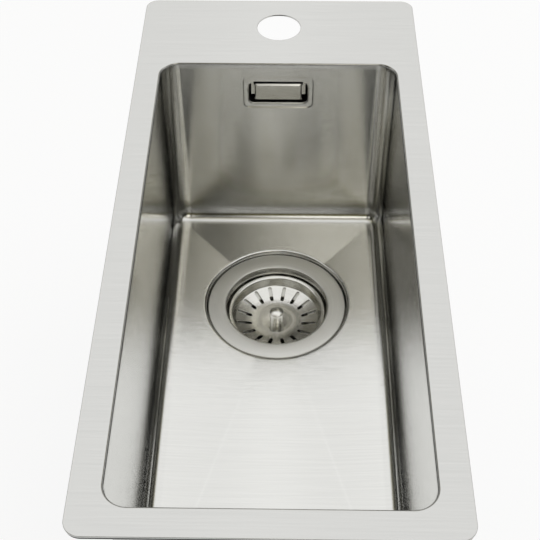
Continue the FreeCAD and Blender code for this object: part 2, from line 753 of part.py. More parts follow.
def overflow_pipe():
    """A rigid bent pipe from the waste body's branch up to the overflow housing."""
    start = FreeCAD.Vector(0, branch_end - pipe_insertion, branch_z)
    bend_start = FreeCAD.Vector(0, pipe_y - pipe_bend, branch_z)
    middle = FreeCAD.Vector(0, pipe_y - pipe_bend * (1 - math.sqrt(0.5)),
                            branch_z + pipe_bend * (1 - math.sqrt(0.5)))
    bend_end = FreeCAD.Vector(0, pipe_y, branch_z + pipe_bend)
    end = FreeCAD.Vector(0, pipe_y, spigot_end + pipe_insertion)
    path = Part.Wire([Part.makeLine(start, bend_start), Part.Arc(bend_start, middle, bend_end).toShape(),
                      Part.makeLine(bend_end, end)])
    along = FreeCAD.Vector(0, 1, 0)
    outer = Part.Wire(Part.makeCircle(pipe_radius, start, along))
    inner = Part.Wire(Part.makeCircle(pipe_radius - pipe_wall, start, along))
    outside = path.makePipeShell([outer], True, True)
    inside = path.makePipeShell([inner], True, True)
    return outside.cut(inside)


def pipe_nut():
    """A fluted compression nut about Z; zero is the spigot's end, the pipe leaves upwards."""
    shoulder = pipe_seal_length
    top = shoulder + pipe_nut_shoulder
    nut = turned([(nut_bore, -pipe_nut_grip), (nut_radius, -pipe_nut_grip), (nut_radius, top - 1),
                  (nut_radius - 1, top), (pipe_radius + hole_gap, top), (pipe_radius + hole_gap, shoulder),
                  (nut_bore, shoulder)])
    flute = cylinder(nut_flute_radius, -pipe_nut_grip - 1, top + 1, nut_radius + nut_flute_radius / 2)
    return nut.cut(Part.makeCompound(around(flute, nut_flutes)))


def pipe_seal():
    return ring(pipe_radius + press_gap, spigot_radius, 0, pipe_seal_length)


def on_spigot(shape):
    """Put a joint piece on the housing's spigot, where the pipe leaves downwards."""
    turned_shape = shape.copy()
    turned_shape.rotate(FreeCAD.Vector(0, 0, 0), FreeCAD.Vector(1, 0, 0), 180)
    return place(turned_shape, 0, pipe_y, spigot_end)


def on_branch(shape):
    """Put a joint piece on the waste body's branch, where the pipe leaves to the rear."""
    turned_shape = shape.copy()
    turned_shape.rotate(FreeCAD.Vector(0, 0, 0), FreeCAD.Vector(1, 0, 0), -90)
    return place(turned_shape, 0, branch_end, branch_z)


def clamp_places():
    """Stud positions in turn: front right, rear right, front left, rear left."""
    return [(side * stud_x, end * stud_y) for side in (1, -1) for end in (-1, 1)]


def clamp_studs():
    return Part.makeCompound([cylinder(stud_radius, stud_end, deck_under, x, y) for x, y in clamp_places()])


def clamp_washer():
    return ring(stud_radius + running_gap, clamp_washer_radius, 0, clamp_washer_thickness)


def clamp_nut():
    return hexagon(clamp_nut_flats, 0, clamp_nut_height).cut(
        cylinder(stud_radius + running_gap, -1, clamp_nut_height + 1))


def clamp_claw():
    """A strip with a round end on the stud and an upturned tooth, drawn along -Y."""
    half = claw_width / 2
    strip = plate(-half, half, -claw_reach, half, half - 0.01, 0, claw_sheet)
    strip = strip.fuse(block(-half, half, -claw_reach, -claw_reach + half, 0, claw_sheet))
    tooth = block(-half, half, -claw_reach, -claw_reach + claw_sheet, 0, claw_sheet + claw_tooth)
    claw = strip.fuse(tooth).removeSplitter()
    heel = [e for e in claw.Edges if e.BoundBox.ZMax < 1e-6 and e.BoundBox.YMax < -claw_reach + 1e-6]
    claw = claw.makeFillet(min(claw_bend, claw_sheet * 0.9), heel)
    return claw.cut(cylinder(stud_radius + running_gap, -1, claw_sheet + 1))


def clamp_pieces():
    """The four clamps, each claw stowed along the wall so that a quarter turn brings it outwards."""
    pieces = {}
    for number, (x, y) in enumerate(clamp_places(), start=1):
        claw = clamp_claw()
        if x < 0:
            claw.rotate(FreeCAD.Vector(0, 0, 0), up, 180)
        pieces[f"clamp_washer_{number}"] = place(clamp_washer(), x, y, clamp_washer_level)
        pieces[f"clamp_claw_{number}"] = place(claw, x, y, claw_level)
        pieces[f"clamp_nut_{number}"] = place(clamp_nut(), x, y, clamp_nut_level)
    return pieces


def sink_pieces():
    """Every piece of the sink by name."""
    pieces = {
        "deck_plate": deck_plate(),
        "bowl_shell": bowl_shell(),
        "rim_seal": rim_seal(),
        "sound_pad_left": side_pad(-1),
        "sound_pad_right": side_pad(1),
        "sound_pad_front": front_pad(),
        "sound_pad_floor": floor_pad(),
        "strainer_cup": strainer_cup(),
        "cup_gasket": drain_gasket(recess_level, cup_gasket_thickness),
        "waste_gasket": drain_gasket(collar_level, waste_gasket_thickness),
        "waste_body": waste_body(),
        "fixing_screw": fixing_screw(),
        "insert_nut": insert_nut(),
        "strainer_basket": strainer_basket(),
        "basket_knob": basket_knob(),
        "basket_stem": basket_stem(),
        "stopper_washer": stopper_washer(),
        "stopper_seal": stopper_seal(),
        "stem_clip": stem_clip(),
        "overflow_cover": overflow_cover(),
        "overflow_bridge": overflow_bridge(),
        "overflow_screw": overflow_screw(),
        "overflow_gasket": overflow_gasket(),
        "overflow_housing": overflow_housing(),
        "overflow_studs": overflow_studs(),
        "overflow_nuts": overflow_nuts(),
        "overflow_pipe": overflow_pipe(),
        "upper_pipe_nut": on_spigot(pipe_nut()),
        "upper_pipe_seal": on_spigot(pipe_seal()),
        "lower_pipe_nut": on_branch(pipe_nut()),
        "lower_pipe_seal": on_branch(pipe_seal()),
        "clamp_studs": clamp_studs(),
    }
    pieces.update(clamp_pieces())
    return pieces


os.makedirs("parts", exist_ok=True)
for node, shape in sink_pieces().items():
    shape.exportStep(f"parts/{node}.step")
    print(node, len(shape.Solids), "solid", round(shape.Volume, 1), "mm3", shape.isValid())
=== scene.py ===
"""A single bowl inset kitchen sink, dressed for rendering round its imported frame.

Metres, +Z up. The deck, the bowl, the overflow's bridge, the strainer and the threaded studs are modelled
here in place of their plain nodes. Every other node keeps its shape and gets its finish.
"""

import json
import logging
import math
from collections.abc import Iterable, Mapping, Sequence
from dataclasses import dataclass
from enum import Enum

import bpy
from mathutils import Matrix, Vector
from mathutils.geometry import tessellate_polygon


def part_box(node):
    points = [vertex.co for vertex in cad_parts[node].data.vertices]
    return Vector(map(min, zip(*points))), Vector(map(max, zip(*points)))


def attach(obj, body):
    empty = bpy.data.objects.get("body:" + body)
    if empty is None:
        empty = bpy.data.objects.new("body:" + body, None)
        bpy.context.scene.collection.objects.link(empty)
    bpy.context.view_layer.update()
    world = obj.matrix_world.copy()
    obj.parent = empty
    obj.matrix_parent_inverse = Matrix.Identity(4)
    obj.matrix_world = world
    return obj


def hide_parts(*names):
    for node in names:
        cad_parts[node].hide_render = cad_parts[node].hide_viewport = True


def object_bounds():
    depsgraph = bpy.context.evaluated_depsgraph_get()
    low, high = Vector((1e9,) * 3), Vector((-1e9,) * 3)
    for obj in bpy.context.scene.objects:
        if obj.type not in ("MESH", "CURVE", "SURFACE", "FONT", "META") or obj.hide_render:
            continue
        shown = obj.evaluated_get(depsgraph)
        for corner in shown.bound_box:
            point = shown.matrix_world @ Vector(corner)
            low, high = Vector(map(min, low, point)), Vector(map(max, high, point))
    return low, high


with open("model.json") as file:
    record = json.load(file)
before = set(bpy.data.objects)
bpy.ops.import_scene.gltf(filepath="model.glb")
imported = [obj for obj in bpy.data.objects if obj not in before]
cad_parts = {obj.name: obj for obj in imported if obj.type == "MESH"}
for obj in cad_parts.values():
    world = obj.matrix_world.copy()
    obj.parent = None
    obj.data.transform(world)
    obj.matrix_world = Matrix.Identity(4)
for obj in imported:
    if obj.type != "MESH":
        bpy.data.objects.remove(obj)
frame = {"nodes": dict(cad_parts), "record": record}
CAD_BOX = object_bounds()

MM = 0.001
LOG = logging.getLogger("sink")
TINY = 1e-9
WELD = 0.001 * MM

Colour = tuple[float, float, float]
Flat = tuple[float, float]
Point = tuple[float, float, float]


class Slot(Enum):
    """The record's material slots."""

    SINK_STEEL = "sink_steel"
    STRAINER_STEEL = "strainer_steel"
    ZINC = "zinc_steel"
    BRASS = "brass"
    RUBBER = "black_rubber"
    FOAM = "seal_foam"
    PAD = "pad_rubber"
    PLASTIC = "waste_plastic"


class Body(Enum):
    """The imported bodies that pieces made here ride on."""

    SINK = "sink"
    BASKET = "basket"


class Grain(Enum):
    """How a metal was finished: in straight lines on a sheet, inside a bowl, or turned about the drain."""

    SHEET = "sheet"
    BOWL = "bowl"
    TURNED = "turned"


class Signal:
    """A node's output that takes part in arithmetic; each operator adds a Math node."""

    def __init__(self, graph: "Graph", socket: bpy.types.NodeSocket) -> None:
        """Keep the graph and the socket."""
        self.graph = graph
        self.socket = socket

    def math(self, operation: str, first: "Signal | float", second: "Signal | float" = 0.0) -> "Signal":
        """Add a Math node.

        Args:
            operation: Blender's name of the operation.
            first: the first value or signal.
            second: the second value or signal.

        Returns:
            The node's result.
        """
        return self.graph.node("ShaderNodeMath", {"operation": operation}, {0: first, 1: second})

    def __add__(self, other: "Signal | float") -> "Signal":
        """Sum."""
        return self.math("ADD", self, other)

    def __radd__(self, other: float) -> "Signal":
        """Sum with a number first."""
        return self.math("ADD", other, self)

    def __sub__(self, other: "Signal | float") -> "Signal":
        """Difference."""
        return self.math("SUBTRACT", self, other)

    def __rsub__(self, other: float) -> "Signal":
        """Difference from a number."""
        return self.math("SUBTRACT", other, self)

    def __mul__(self, other: "Signal | float") -> "Signal":
        """Product."""
        return self.math("MULTIPLY", self, other)

    def __rmul__(self, other: float) -> "Signal":
        """Product with a number first."""
        return self.math("MULTIPLY", other, self)

    def __truediv__(self, other: "Signal | float") -> "Signal":
        """Quotient."""
        return self.math("DIVIDE", self, other)

    def __pow__(self, power: float) -> "Signal":
        """Power."""
        return self.math("POWER", self, power)

    def __abs__(self) -> "Signal":
        """Size without sign."""
        return self.math("ABSOLUTE", self)

    def larger(self, other: "Signal | float") -> "Signal":
        """The larger of two."""
        return self.math("MAXIMUM", self, other)

    def ease(self, low: float, high: float) -> "Signal":
        """Rise smoothly from 0 at low to 1 at high."""
        settings = {"interpolation_type": "SMOOTHSTEP"}
        return self.graph.node("ShaderNodeMapRange", settings, {0: self, 1: low, 2: high})


class Graph:
    """Builds the nodes of a material, the world or a Geometry Nodes tree."""

    def __init__(self, tree: bpy.types.NodeTree) -> None:
        """Keep the tree."""
        self.tree = tree

    def node(self, kind: str, settings: Mapping[str, object] | None = None,
             inputs: Mapping[str | int, object] | None = None, out: str | int = 0) -> Signal | None:
        """Add a node.

        Args:
            kind: Blender's type of the node.
            settings: the node's properties, set first.
            inputs: values or signals for its sockets, by name or number.
            out: the output that is handed back.

        Returns:
            That output, or nothing where the node has none.
        """
        made = self.tree.nodes.new(kind)
        for name, value in (settings or {}).items():
            setattr(made, name, value)
        for key, value in (inputs or {}).items():
            if isinstance(value, Signal):
                self.tree.links.new(value.socket, made.inputs[key])
            else:
                made.inputs[key].default_value = value
        return Signal(self, made.outputs[out]) if made.outputs else None

    def parts(self, vector: Signal) -> tuple[Signal, Signal, Signal]:
        """Split a vector.

        Args:
            vector: the vector's signal.

        Returns:
            Its x, y and z.
        """
        first = self.node("ShaderNodeSeparateXYZ", None, {0: vector})
        sockets = first.socket.node.outputs
        return first, Signal(self, sockets[1]), Signal(self, sockets[2])

    def vector(self, x: Signal | float, y: Signal | float, z: Signal | float) -> Signal:
        """Join x, y and z."""
        return self.node("ShaderNodeCombineXYZ", None, {0: x, 1: y, 2: z})

    def place(self) -> Signal:
        """Object coordinates, which are the frame's, in metres."""
        return self.node("ShaderNodeTexCoord", out="Object")

    def noise(self, where: Signal, scale: float, detail: float = 2.0, roughness: float = 0.5) -> Signal:
        """Smooth noise about 0.5 at a number of features in a metre."""
        inputs = {"Vector": where, "Scale": scale, "Detail": detail, "Roughness": roughness}
        return self.node("ShaderNodeTexNoise", None, inputs)

    def blend(self, factor: Signal, first: Colour, second: Colour) -> Signal:
        """Mix two colours."""
        inputs = {0: factor, 6: (*first, 1.0), 7: (*second, 1.0)}
        return self.node("ShaderNodeMix", {"data_type": "RGBA"}, inputs, out=2)

    def bump(self, height: Signal, distance: float) -> Signal:
        """Turn a height into a bent normal."""
        return self.node("ShaderNodeBump", None, {"Height": height, "Distance": distance})


class ShaderGraph(Graph):
    """The node tree of one material."""

    def __init__(self, name: str) -> None:
        """Make an empty material.

        Args:
            name: the material's name.
        """
        self.material = bpy.data.materials.new(name)
        self.material.use_nodes = True
        self.material.node_tree.nodes.clear()
        super().__init__(self.material.node_tree)

    def surface(self, inputs: Mapping[str, object]) -> bpy.types.Material:
        """Close the tree with a Principled surface.

        Args:
            inputs: values and signals of its sockets.

        Returns:
            The finished material.
        """
        shader = self.node("ShaderNodeBsdfPrincipled", None, inputs)
        self.node("ShaderNodeOutputMaterial", None, {"Surface": shader})
        return self.material


def shade(colour: Colour, share: float) -> Colour:
    """A colour made lighter or darker by a share."""
    return tuple(channel * share for channel in colour)


@dataclass(frozen=True)
class Steel:
    """Stainless steel with fine brush or turning lines that smear its reflections across them."""

    name: str
    grain: Grain
    colour: Colour
    roughness: float
    smear: float
    line_pitch: float = 0.07 * MM
    line_length: float = 12 * MM
    line_slant: float = 0.37
    line_seed: float = 0.5
    turn_length: float = 10 * MM
    least_radius: float = 0.1 * MM
    band_pitch: float = 0.9 * MM
    band_length: float = 60 * MM
    band_seed: float = 3.7
    band_tilt: float = 0.01
    band_spread: float = 0.02
    cloud_scale: float = 22.0
    cloud_spread: float = 0.03
    tone_shares: Point = (0.2, 0.7, 0.1)
    tone_span: Flat = (0.3, 0.7)
    contrast: float = 0.026
    wall_gloss: float = 0.0
    side_share: float = 1.0
    end_share: float = 1.0
    level_span: Flat = (0.45, 0.9)
    end_span: Flat = (0.6, 0.95)
    centre: Flat = (0.0, 0.0)

    def lines(self, graph: Graph) -> tuple[Signal, Signal, Signal, Signal]:
        """How the lines run.

        Args:
            graph: the material's tree.

        Returns:
            The distance across the lines, the distance along them, both in metres, the way across, and
            how upright the face is.
        """
        x, y, z = graph.parts(graph.place())
        facing = graph.parts(graph.node("ShaderNodeNewGeometry", out="Normal"))
        level = abs(facing[2]).ease(*self.level_span)
        upright = 1.0 - level
        if self.grain is Grain.TURNED:
            from_x = x - self.centre[0]
            from_y = y - self.centre[1]
            radius = (from_x * from_x + from_y * from_y) ** 0.5
            angle = graph.node("ShaderNodeMath", {"operation": "ARCTAN2"}, {0: from_y, 1: from_x})
            outward = level / radius.larger(self.least_radius)
            way = graph.vector(from_x * outward, from_y * outward, upright)
            return radius + z, angle * self.turn_length, way, upright
        at_end = abs(facing[1]).ease(*self.end_span)
        share = self.side_share + at_end * (self.end_share - self.side_share)
        way = graph.vector(0.0, level, upright * share)
        if self.grain is Grain.SHEET:
            return y + z, x, way, upright
        return y * level + z * upright, x + y * upright, way, upright

    def material(self) -> bpy.types.Material:
        """Build the material: long fine lines, faint bands and soft clouds.

        Returns:
            The finished material.
        """
        graph = ShaderGraph(self.name)
        across, along, way, upright = self.lines(graph)
        line = across / self.line_pitch
        drift = along / self.line_length + line * self.line_slant
        fine = graph.noise(graph.vector(line, drift, self.line_seed), 1.0, 1.0)
        broad = graph.vector(across / self.band_pitch, along / self.band_length, self.band_seed)
        bands = graph.noise(broad, 1.0, 3.0, 0.6)
        cloud = graph.noise(graph.place(), self.cloud_scale, 3.0)
        of_fine, of_bands, of_cloud = self.tone_shares
        tone = fine * of_fine + bands * of_bands + cloud * of_cloud
        colour = graph.blend(tone.ease(*self.tone_span), shade(self.colour, 1 - self.contrast),
                             shade(self.colour, 1 + self.contrast))
        roughness = self.roughness + (bands - 0.5) * self.band_spread + (cloud - 0.5) * self.cloud_spread
        roughness = roughness - upright * self.wall_gloss
        tilt = (fine - 0.5) * self.smear + (bands - 0.5) * (self.smear * self.band_tilt)
        normal = graph.node("ShaderNodeNewGeometry", out="Normal")
        sideways = graph.node("ShaderNodeVectorMath", {"operation": "SCALE"}, {0: way, "Scale": tilt})
        leaning = graph.node("ShaderNodeVectorMath", {"operation": "ADD"}, {0: normal, 1: sideways})
        bent = graph.node("ShaderNodeVectorMath", {"operation": "NORMALIZE"}, {0: leaning})
        return graph.surface({"Base Color": colour, "Metallic": 1.0, "Roughness": roughness,
                              "Normal": bent})


@dataclass(frozen=True)
class ZincPlate:
    """Bright zinc on small steel fittings, clouded and faintly blue and straw."""

    name: str
    blue: Colour
    straw: Colour
    roughness: float
    cloud_scale: float = 160.0
    cloud_spread: float = 0.2
    tint_span: Flat = (0.35, 0.65)
    grit_scale: float = 2600.0
    grit_spread: float = 0.1
    grit_depth: float = 0.03 * MM

    def material(self) -> bpy.types.Material:
        """Build the material: soft clouds of two tints with a fine pitted relief.

        Returns:
            The finished material.
        """
        graph = ShaderGraph(self.name)
        where = graph.place()
        cloud = graph.noise(where, self.cloud_scale, 3.0)
        grit = graph.noise(where, self.grit_scale, 2.0)
        colour = graph.blend(cloud.ease(*self.tint_span), self.blue, self.straw)
        roughness = self.roughness + (cloud - 0.5) * self.cloud_spread + (grit - 0.5) * self.grit_spread
        return graph.surface({"Base Color": colour, "Metallic": 1.0, "Roughness": roughness,
                              "Normal": graph.bump(grit, self.grit_depth)})


@dataclass(frozen=True)
class Moulding:
    """A moulded plastic or rubber skin: a fine texture, faint flow marks and a little dust."""

    name: str
    colour: Colour
    dust: Colour
    roughness: float
    texture_scale: float
    texture_depth: float
    texture_spread: float = 0.12
    dust_share: float = 0.35
    dust_span: Flat = (0.4, 0.8)
    flow_scale: float = 45.0
    flow_spread: float = 0.18

    def material(self) -> bpy.types.Material:
        """Build the material from fine grain and slow clouds.

        Returns:
            The finished material.
        """
        graph = ShaderGraph(self.name)
        where = graph.place()
        grain = graph.noise(where, self.texture_scale, 3.0, 0.6)
        flow = graph.noise(where, self.flow_scale, 4.0, 0.6)
        colour = graph.blend(flow.ease(*self.dust_span) * self.dust_share, self.colour, self.dust)
        roughness = self.roughness + (flow - 0.5) * self.flow_spread + (grain - 0.5) * self.texture_spread
        return graph.surface({"Base Color": colour, "Roughness": roughness,
                              "Normal": graph.bump(grain, self.texture_depth)})


@dataclass(frozen=True)
class CellFoam:
    """Closed-cell foam strip with its small pores."""

    name: str
    colour: Colour
    pore_colour: Colour
    pore_pitch: float
    pore_depth: float = 0.15 * MM
    pore_span: Flat = (0.15, 0.6)
    roughness: float = 0.86
    cloud_scale: float = 120.0
    cloud_spread: float = 0.15

    def material(self) -> bpy.types.Material:
        """Build the material from cells of a Voronoi pattern.

        Returns:
            The finished material.
        """
        graph = ShaderGraph(self.name)
        where = graph.place()
        cells = graph.node("ShaderNodeTexVoronoi", None, {"Vector": where, "Scale": 1 / self.pore_pitch})
        cloud = graph.noise(where, self.cloud_scale, 2.0)
        colour = graph.blend(cells.ease(*self.pore_span), self.pore_colour, self.colour)
        roughness = self.roughness + (cloud - 0.5) * self.cloud_spread
        return graph.surface({"Base Color": colour, "Roughness": roughness,
                              "Normal": graph.bump(cells, self.pore_depth)})


class Draft:
    """Points and faces of a mesh that is being drawn."""

    def __init__(self) -> None:
        """Start with nothing drawn."""
        self.points: list[Point] = []
        self.faces: list[tuple[int, ...]] = []

    def row(self, points: Iterable[Point]) -> list[int]:
        """Add points.

        Args:
            points: the points in turn.

        Returns:
            Their numbers.
        """
        start = len(self.points)
        self.points.extend(points)
        return list(range(start, len(self.points)))

    def strip(self, first: Sequence[int], second: Sequence[int], closed: bool = True) -> None:
        """Join two rows of equal length by four-sided faces.

        Args:
            first: point numbers of one row.
            second: point numbers of the other.
            closed: join the rows' ends too.
        """
        count = len(first)
        for i in range(count if closed else count - 1):
            j = (i + 1) % count
            self.faces.append((first[i], first[j], second[j], second[i]))

    def loft(self, rows: Sequence[Sequence[int]], closed: bool = True) -> None:
        """Join rows one after the other."""
        for first, second in zip(rows, rows[1:]):
            self.strip(first, second, closed)

    def fan(self, row: Sequence[int], pole: int) -> None:
        """Close a round row to a single point."""
        for i, start in enumerate(row):
            self.faces.append((start, row[(i + 1) % len(row)], pole))

    def fill(self, loops: Sequence[Sequence[int]], facing: Point) -> None:
        """Fill a flat outline that has holes.

        Args:
            loops: the outline first, then its holes.
            facing: the way that the faces look.
        """
        numbers = [n for loop in loops for n in loop]
        outlines = [[Vector(self.points[n]) for n in loop] for loop in loops]
        for triangle in tessellate_polygon(outlines):
            a, b, c = (numbers[i] for i in triangle)
            pa, pb, pc = (Vector(self.points[n]) for n in (a, b, c))
            ahead = (pb - pa).cross(pc - pa).dot(Vector(facing)) > 0
            self.faces.append((a, b, c) if ahead else (a, c, b))

    def piece(self, name: str) -> bpy.types.Object:
        """Make the drawn mesh an object in the scene.

        Args:
            name: the object's name.

        Returns:
            The object.
        """
        mesh = bpy.data.meshes.new(name)
        mesh.from_pydata(self.points, [], self.faces)
        mesh.update()
        made = bpy.data.objects.new(name, mesh)
        bpy.context.scene.collection.objects.link(made)
        return made


def settle(piece: bpy.types.Object, sharp_degrees: float = 38.0) -> None:
    """Bake a piece's modifiers into a plain mesh, smooth but for its sharp edges.

    Args:
        piece: the piece.
        sharp_degrees: the bend from which an edge is sharp.
    """
    view = bpy.context.evaluated_depsgraph_get()
    mesh = bpy.data.meshes.new_from_object(piece.evaluated_get(view))
    piece.modifiers.clear()
    old = piece.data
    piece.data = mesh
    mesh.name = piece.name
    bpy.data.meshes.remove(old)
    mesh.shade_smooth()
    mesh.set_sharp_from_angle(angle=math.radians(sharp_degrees))


def thicken(piece: bpy.types.Object, sheet: float, edge: float = 0.0) -> None:
    """Give a drawn skin its sheet's thickness behind its face, and round its cut edges a little.

    Args:
        piece: the drawn skin.
        sheet: the sheet's thickness.
        edge: width of the rounded edges, if they are rounded.
    """
    wall = piece.modifiers.new("sheet", "SOLIDIFY")
    wall.thickness = sheet
    wall.offset = -1.0
    wall.use_even_offset = False
    if edge > 0.0:
        bevel = piece.modifiers.new("edge", "BEVEL")
        bevel.width = edge
        bevel.segments = 2
        bevel.limit_method = "ANGLE"
        bevel.angle_limit = math.radians(50.0)
        bevel.use_clamp_overlap = True


def install(piece: bpy.types.Object, material: bpy.types.Material, body: Body, slot: Slot,
            *nodes: str) -> None:
    """Dress a finished piece, set it on its body and let it stand for its nodes.

    Args:
        piece: the finished piece.
        material: its finish.
        body: the body that it rides on.
        slot: the record's slot of its material; not used.
        nodes: the nodes that it stands for.
    """
    piece.data.materials.clear()
    piece.data.materials.append(material)
    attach(piece, body.value)
    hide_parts(*nodes)
    LOG.info("%s: %d faces, for %s", piece.name, len(piece.data.polygons), ", ".join(nodes))


def steps(start: float, end: float, count: int) -> list[float]:
    """Evenly spaced values with both ends."""
    return [start + (end - start) * i / count for i in range(count + 1)]


def graded(start: float, end: float, count: int, crowd: float = 0.8) -> list[float]:
    """Values from start to end that crowd towards both ends."""
    reach = math.sin(crowd * math.pi / 2)
    return [start + (end - start) * (1 + math.sin(crowd * math.pi / 2 * u) / reach) / 2
            for u in steps(-1.0, 1.0, count)]


def full_turn(count: int) -> list[float]:
    """Evenly spaced angles once round."""
    return steps(0.0, 2 * math.pi, count)[:-1]


def quarter_round(radius: float, count: int) -> list[Flat]:
    """Distance and drop along a quarter round, from level to upright."""
    return [(radius * (1 - math.sin(a)), radius * (1 - math.cos(a)))
            for a in steps(0.0, math.pi / 2, count)]


def rounded_loop(half_u: float, half_v: float, radius: float, along_u: int, along_v: int,
                 half_corner: int, window: bool = False) -> list[Flat]:
    """A rectangle with round corners, from the middle of its top right corner to the left and on round.

    Args:
        half_u: half its width.
        half_v: half its height.
        radius: radius of its corners.
        along_u: steps on the straight of each level side.
        along_v: steps on the straight of each upright side.
        half_corner: steps on each half of a corner.
        window: draw the corners square, with as many points.

    Returns:
        The points in turn, anticlockwise.
    """
    corners = [(half_u, half_v), (-half_u, half_v), (-half_u, -half_v), (half_u, -half_v)]
    centres = [(u - math.copysign(radius, u), v - math.copysign(radius, v)) for u, v in corners]
    loop: list[Flat] = []

    def bend(at: int, angle: float, straight: Flat, share: float) -> Flat:
        """A point of a corner, at an angle of its round or a share of the way to its straight."""
        if window:
            return tuple(c + (s - c) * share for c, s in zip(corners[at], straight))
        return centres[at][0] + radius * math.cos(angle), centres[at][1] + radius * math.sin(angle)

    for side in range(4):
        ahead = (side + 1) % 4
        facing = math.radians(90 * (side + 1))
        lift = (radius * math.cos(facing), radius * math.sin(facing))
        start = (centres[side][0] + lift[0], centres[side][1] + lift[1])
        end = (centres[ahead][0] + lift[0], centres[ahead][1] + lift[1])
        for i in range(half_corner):
            share = i / half_corner
            loop.append(bend(side, facing - math.radians(45 * (1 - share)), start, share))
        count = along_u if side % 2 == 0 else along_v
        loop.extend(tuple(a + (b - a) * t for a, b in zip(start, end)) for t in steps(0.0, 1.0, count))
        for i in range(1, half_corner):
            share = i / half_corner
            loop.append(bend(ahead, facing + math.radians(45 * share), end, 1 - share))
    return loop


def bent_path(corners: Sequence[Flat], radii: Sequence[float], arc_steps: int = 6) -> list[Flat]:
    """A path whose inner corners are rounded.

    Args:
        corners: its end points and corners.
        radii: one radius for each inner corner.
        arc_steps: steps on each rounded corner.

    Returns:
        Points along the path.
    """
    path: list[Flat] = [corners[0]]
    for before, corner, after, radius in zip(corners, corners[1:], corners[2:], radii):
        here = Vector(corner)
        back = (Vector(before) - here).normalized()
        forth = (Vector(after) - here).normalized()
        half = back.angle(forth) / 2
        bisector = (back + forth).normalized()
        centre = here + bisector * (radius / math.sin(half))
        first = here + back * (radius / math.tan(half)) - centre
        last = here + forth * (radius / math.tan(half)) - centre
        turn = first.angle(last)
        for t in steps(0.0, 1.0, arc_steps):
            mixed = first * math.sin((1 - t) * turn) + last * math.sin(t * turn)
            path.append(tuple(centre + mixed / math.sin(turn)))
    path.append(corners[-1])
    return path


@dataclass(frozen=True)
class Opening:
    """The bowl's opening in the deck, on the inner face of the sheet."""

    half_width: float
    front: float
    rear: float
    corner: float = 14 * MM

    @property
    def middle(self) -> float:
        """Y of the opening's middle."""
        return (self.front + self.rear) / 2

    @property
    def half_length(self) -> float:
        """Half the opening's length."""
        return (self.rear - self.front) / 2


@dataclass
class Deck:
    """The flat rim sheet with its rolled lip round the opening and the tap hole."""

    opening: Opening
    half_width: float
    half_length: float
    top: float
    lip_end: float
    tap_y: float
    tap_radius: float
    sheet: float = 1.2 * MM
    rim_corner: float = 10 * MM
    roll: float = 2.2 * MM
    inner_roll: float = 0.5 * MM
    edge: float = 0.35 * MM
    margin: float = 0.3 * MM
    side_steps: tuple[int, int, int] = (24, 56, 8)
    hole_steps: int = 96
    edge_steps: int = 4
    low_edge_steps: int = 3
    roll_steps: int = 8
    inner_steps: int = 4

    @property
    def under(self) -> float:
        """Level of the sheet's underside."""
        return self.top - self.sheet

    def rim_section(self) -> list[Flat]:
        """The outer edge's section.

        Returns:
            Inset and level of its rows, from the top to the underside.
        """
        top = [(self.edge + self.margin, self.top)]
        top += [(d, self.top - drop) for d, drop in quarter_round(self.edge, self.edge_steps)]
        low = [(d, self.under + drop) for d, drop in quarter_round(self.edge / 2, self.low_edge_steps)]
        return top + low[::-1] + [(self.edge + self.margin, self.under)]

    def lip_section(self) -> list[Flat]:
        """The rolled lip's section.

        Returns:
            Offset and level of its rows, from the top to the underside.
        """
        rows = [(self.roll + self.margin, self.top)]
        rows += [(d, self.top - drop) for d, drop in quarter_round(self.roll, self.roll_steps)]
        rows += [(0.0, self.lip_end + self.margin), (0.0, self.lip_end), (self.sheet, self.lip_end)]
        rows += [(self.sheet, self.lip_end + self.margin)]
        inner = quarter_round(self.inner_roll, self.inner_steps)[::-1]
        rows += [(self.sheet + d, self.under - drop) for d, drop in inner]
        return rows + [(self.sheet + self.inner_roll + self.margin, self.under)]

    def hole_section(self) -> list[Flat]:
        """Radius and level of the rows through the tap hole, from the top to the underside."""
        return [(self.tap_radius + inset, level) for inset, level in self.rim_section()]

    def build(self) -> bpy.types.Object:
        """Draw the sheet as one closed skin.

        Returns:
            The finished piece.
        """
        draft = Draft()
        along_x, along_y, corner = self.side_steps
        opening = self.opening

        def rim_row(inset: float, level: float) -> list[int]:
            """A row round the outer edge."""
            loop = rounded_loop(self.half_width - inset, self.half_length - inset,
                                self.rim_corner - inset, along_x, along_y, corner)
            return draft.row((x, y, level) for x, y in loop)

        def lip_row(offset: float, level: float) -> list[int]:
            """A row round the opening."""
            loop = rounded_loop(opening.half_width + offset, opening.half_length + offset,
                                opening.corner + offset, along_x, along_y, corner)
            return draft.row((x, y + opening.middle, level) for x, y in loop)

        def hole_row(radius: float, level: float) -> list[int]:
            """A row round the tap hole."""
            return draft.row((radius * math.cos(a), self.tap_y + radius * math.sin(a), level)
                             for a in full_turn(self.hole_steps))

        rim = [rim_row(*at) for at in self.rim_section()]
        lip = [lip_row(*at) for at in self.lip_section()]
        hole = [hole_row(*at) for at in self.hole_section()]
        draft.loft(rim[::-1])
        draft.loft(lip)
        draft.loft(hole)
        draft.fill([rim[0], lip[0], hole[0]], (0.0, 0.0, 1.0))
        draft.fill([rim[-1], lip[-1], hole[-1]], (0.0, 0.0, -1.0))
        piece = draft.piece("brushed_deck")
        settle(piece)
        return piece


@dataclass(frozen=True)
class Station:
    """A column of the bowl's wall: a point on its inner face and the way outwards."""

    x: float
    y: float
    out_x: float
    out_y: float

    @property
    def on_rear(self) -> bool:
        """Whether it stands on the rear wall."""
        return self.out_y > 1.0 - TINY

    def inside(self, distance: float) -> Flat:
        """The point that far inside the wall."""
        return self.x - self.out_x * distance, self.y - self.out_y * distance


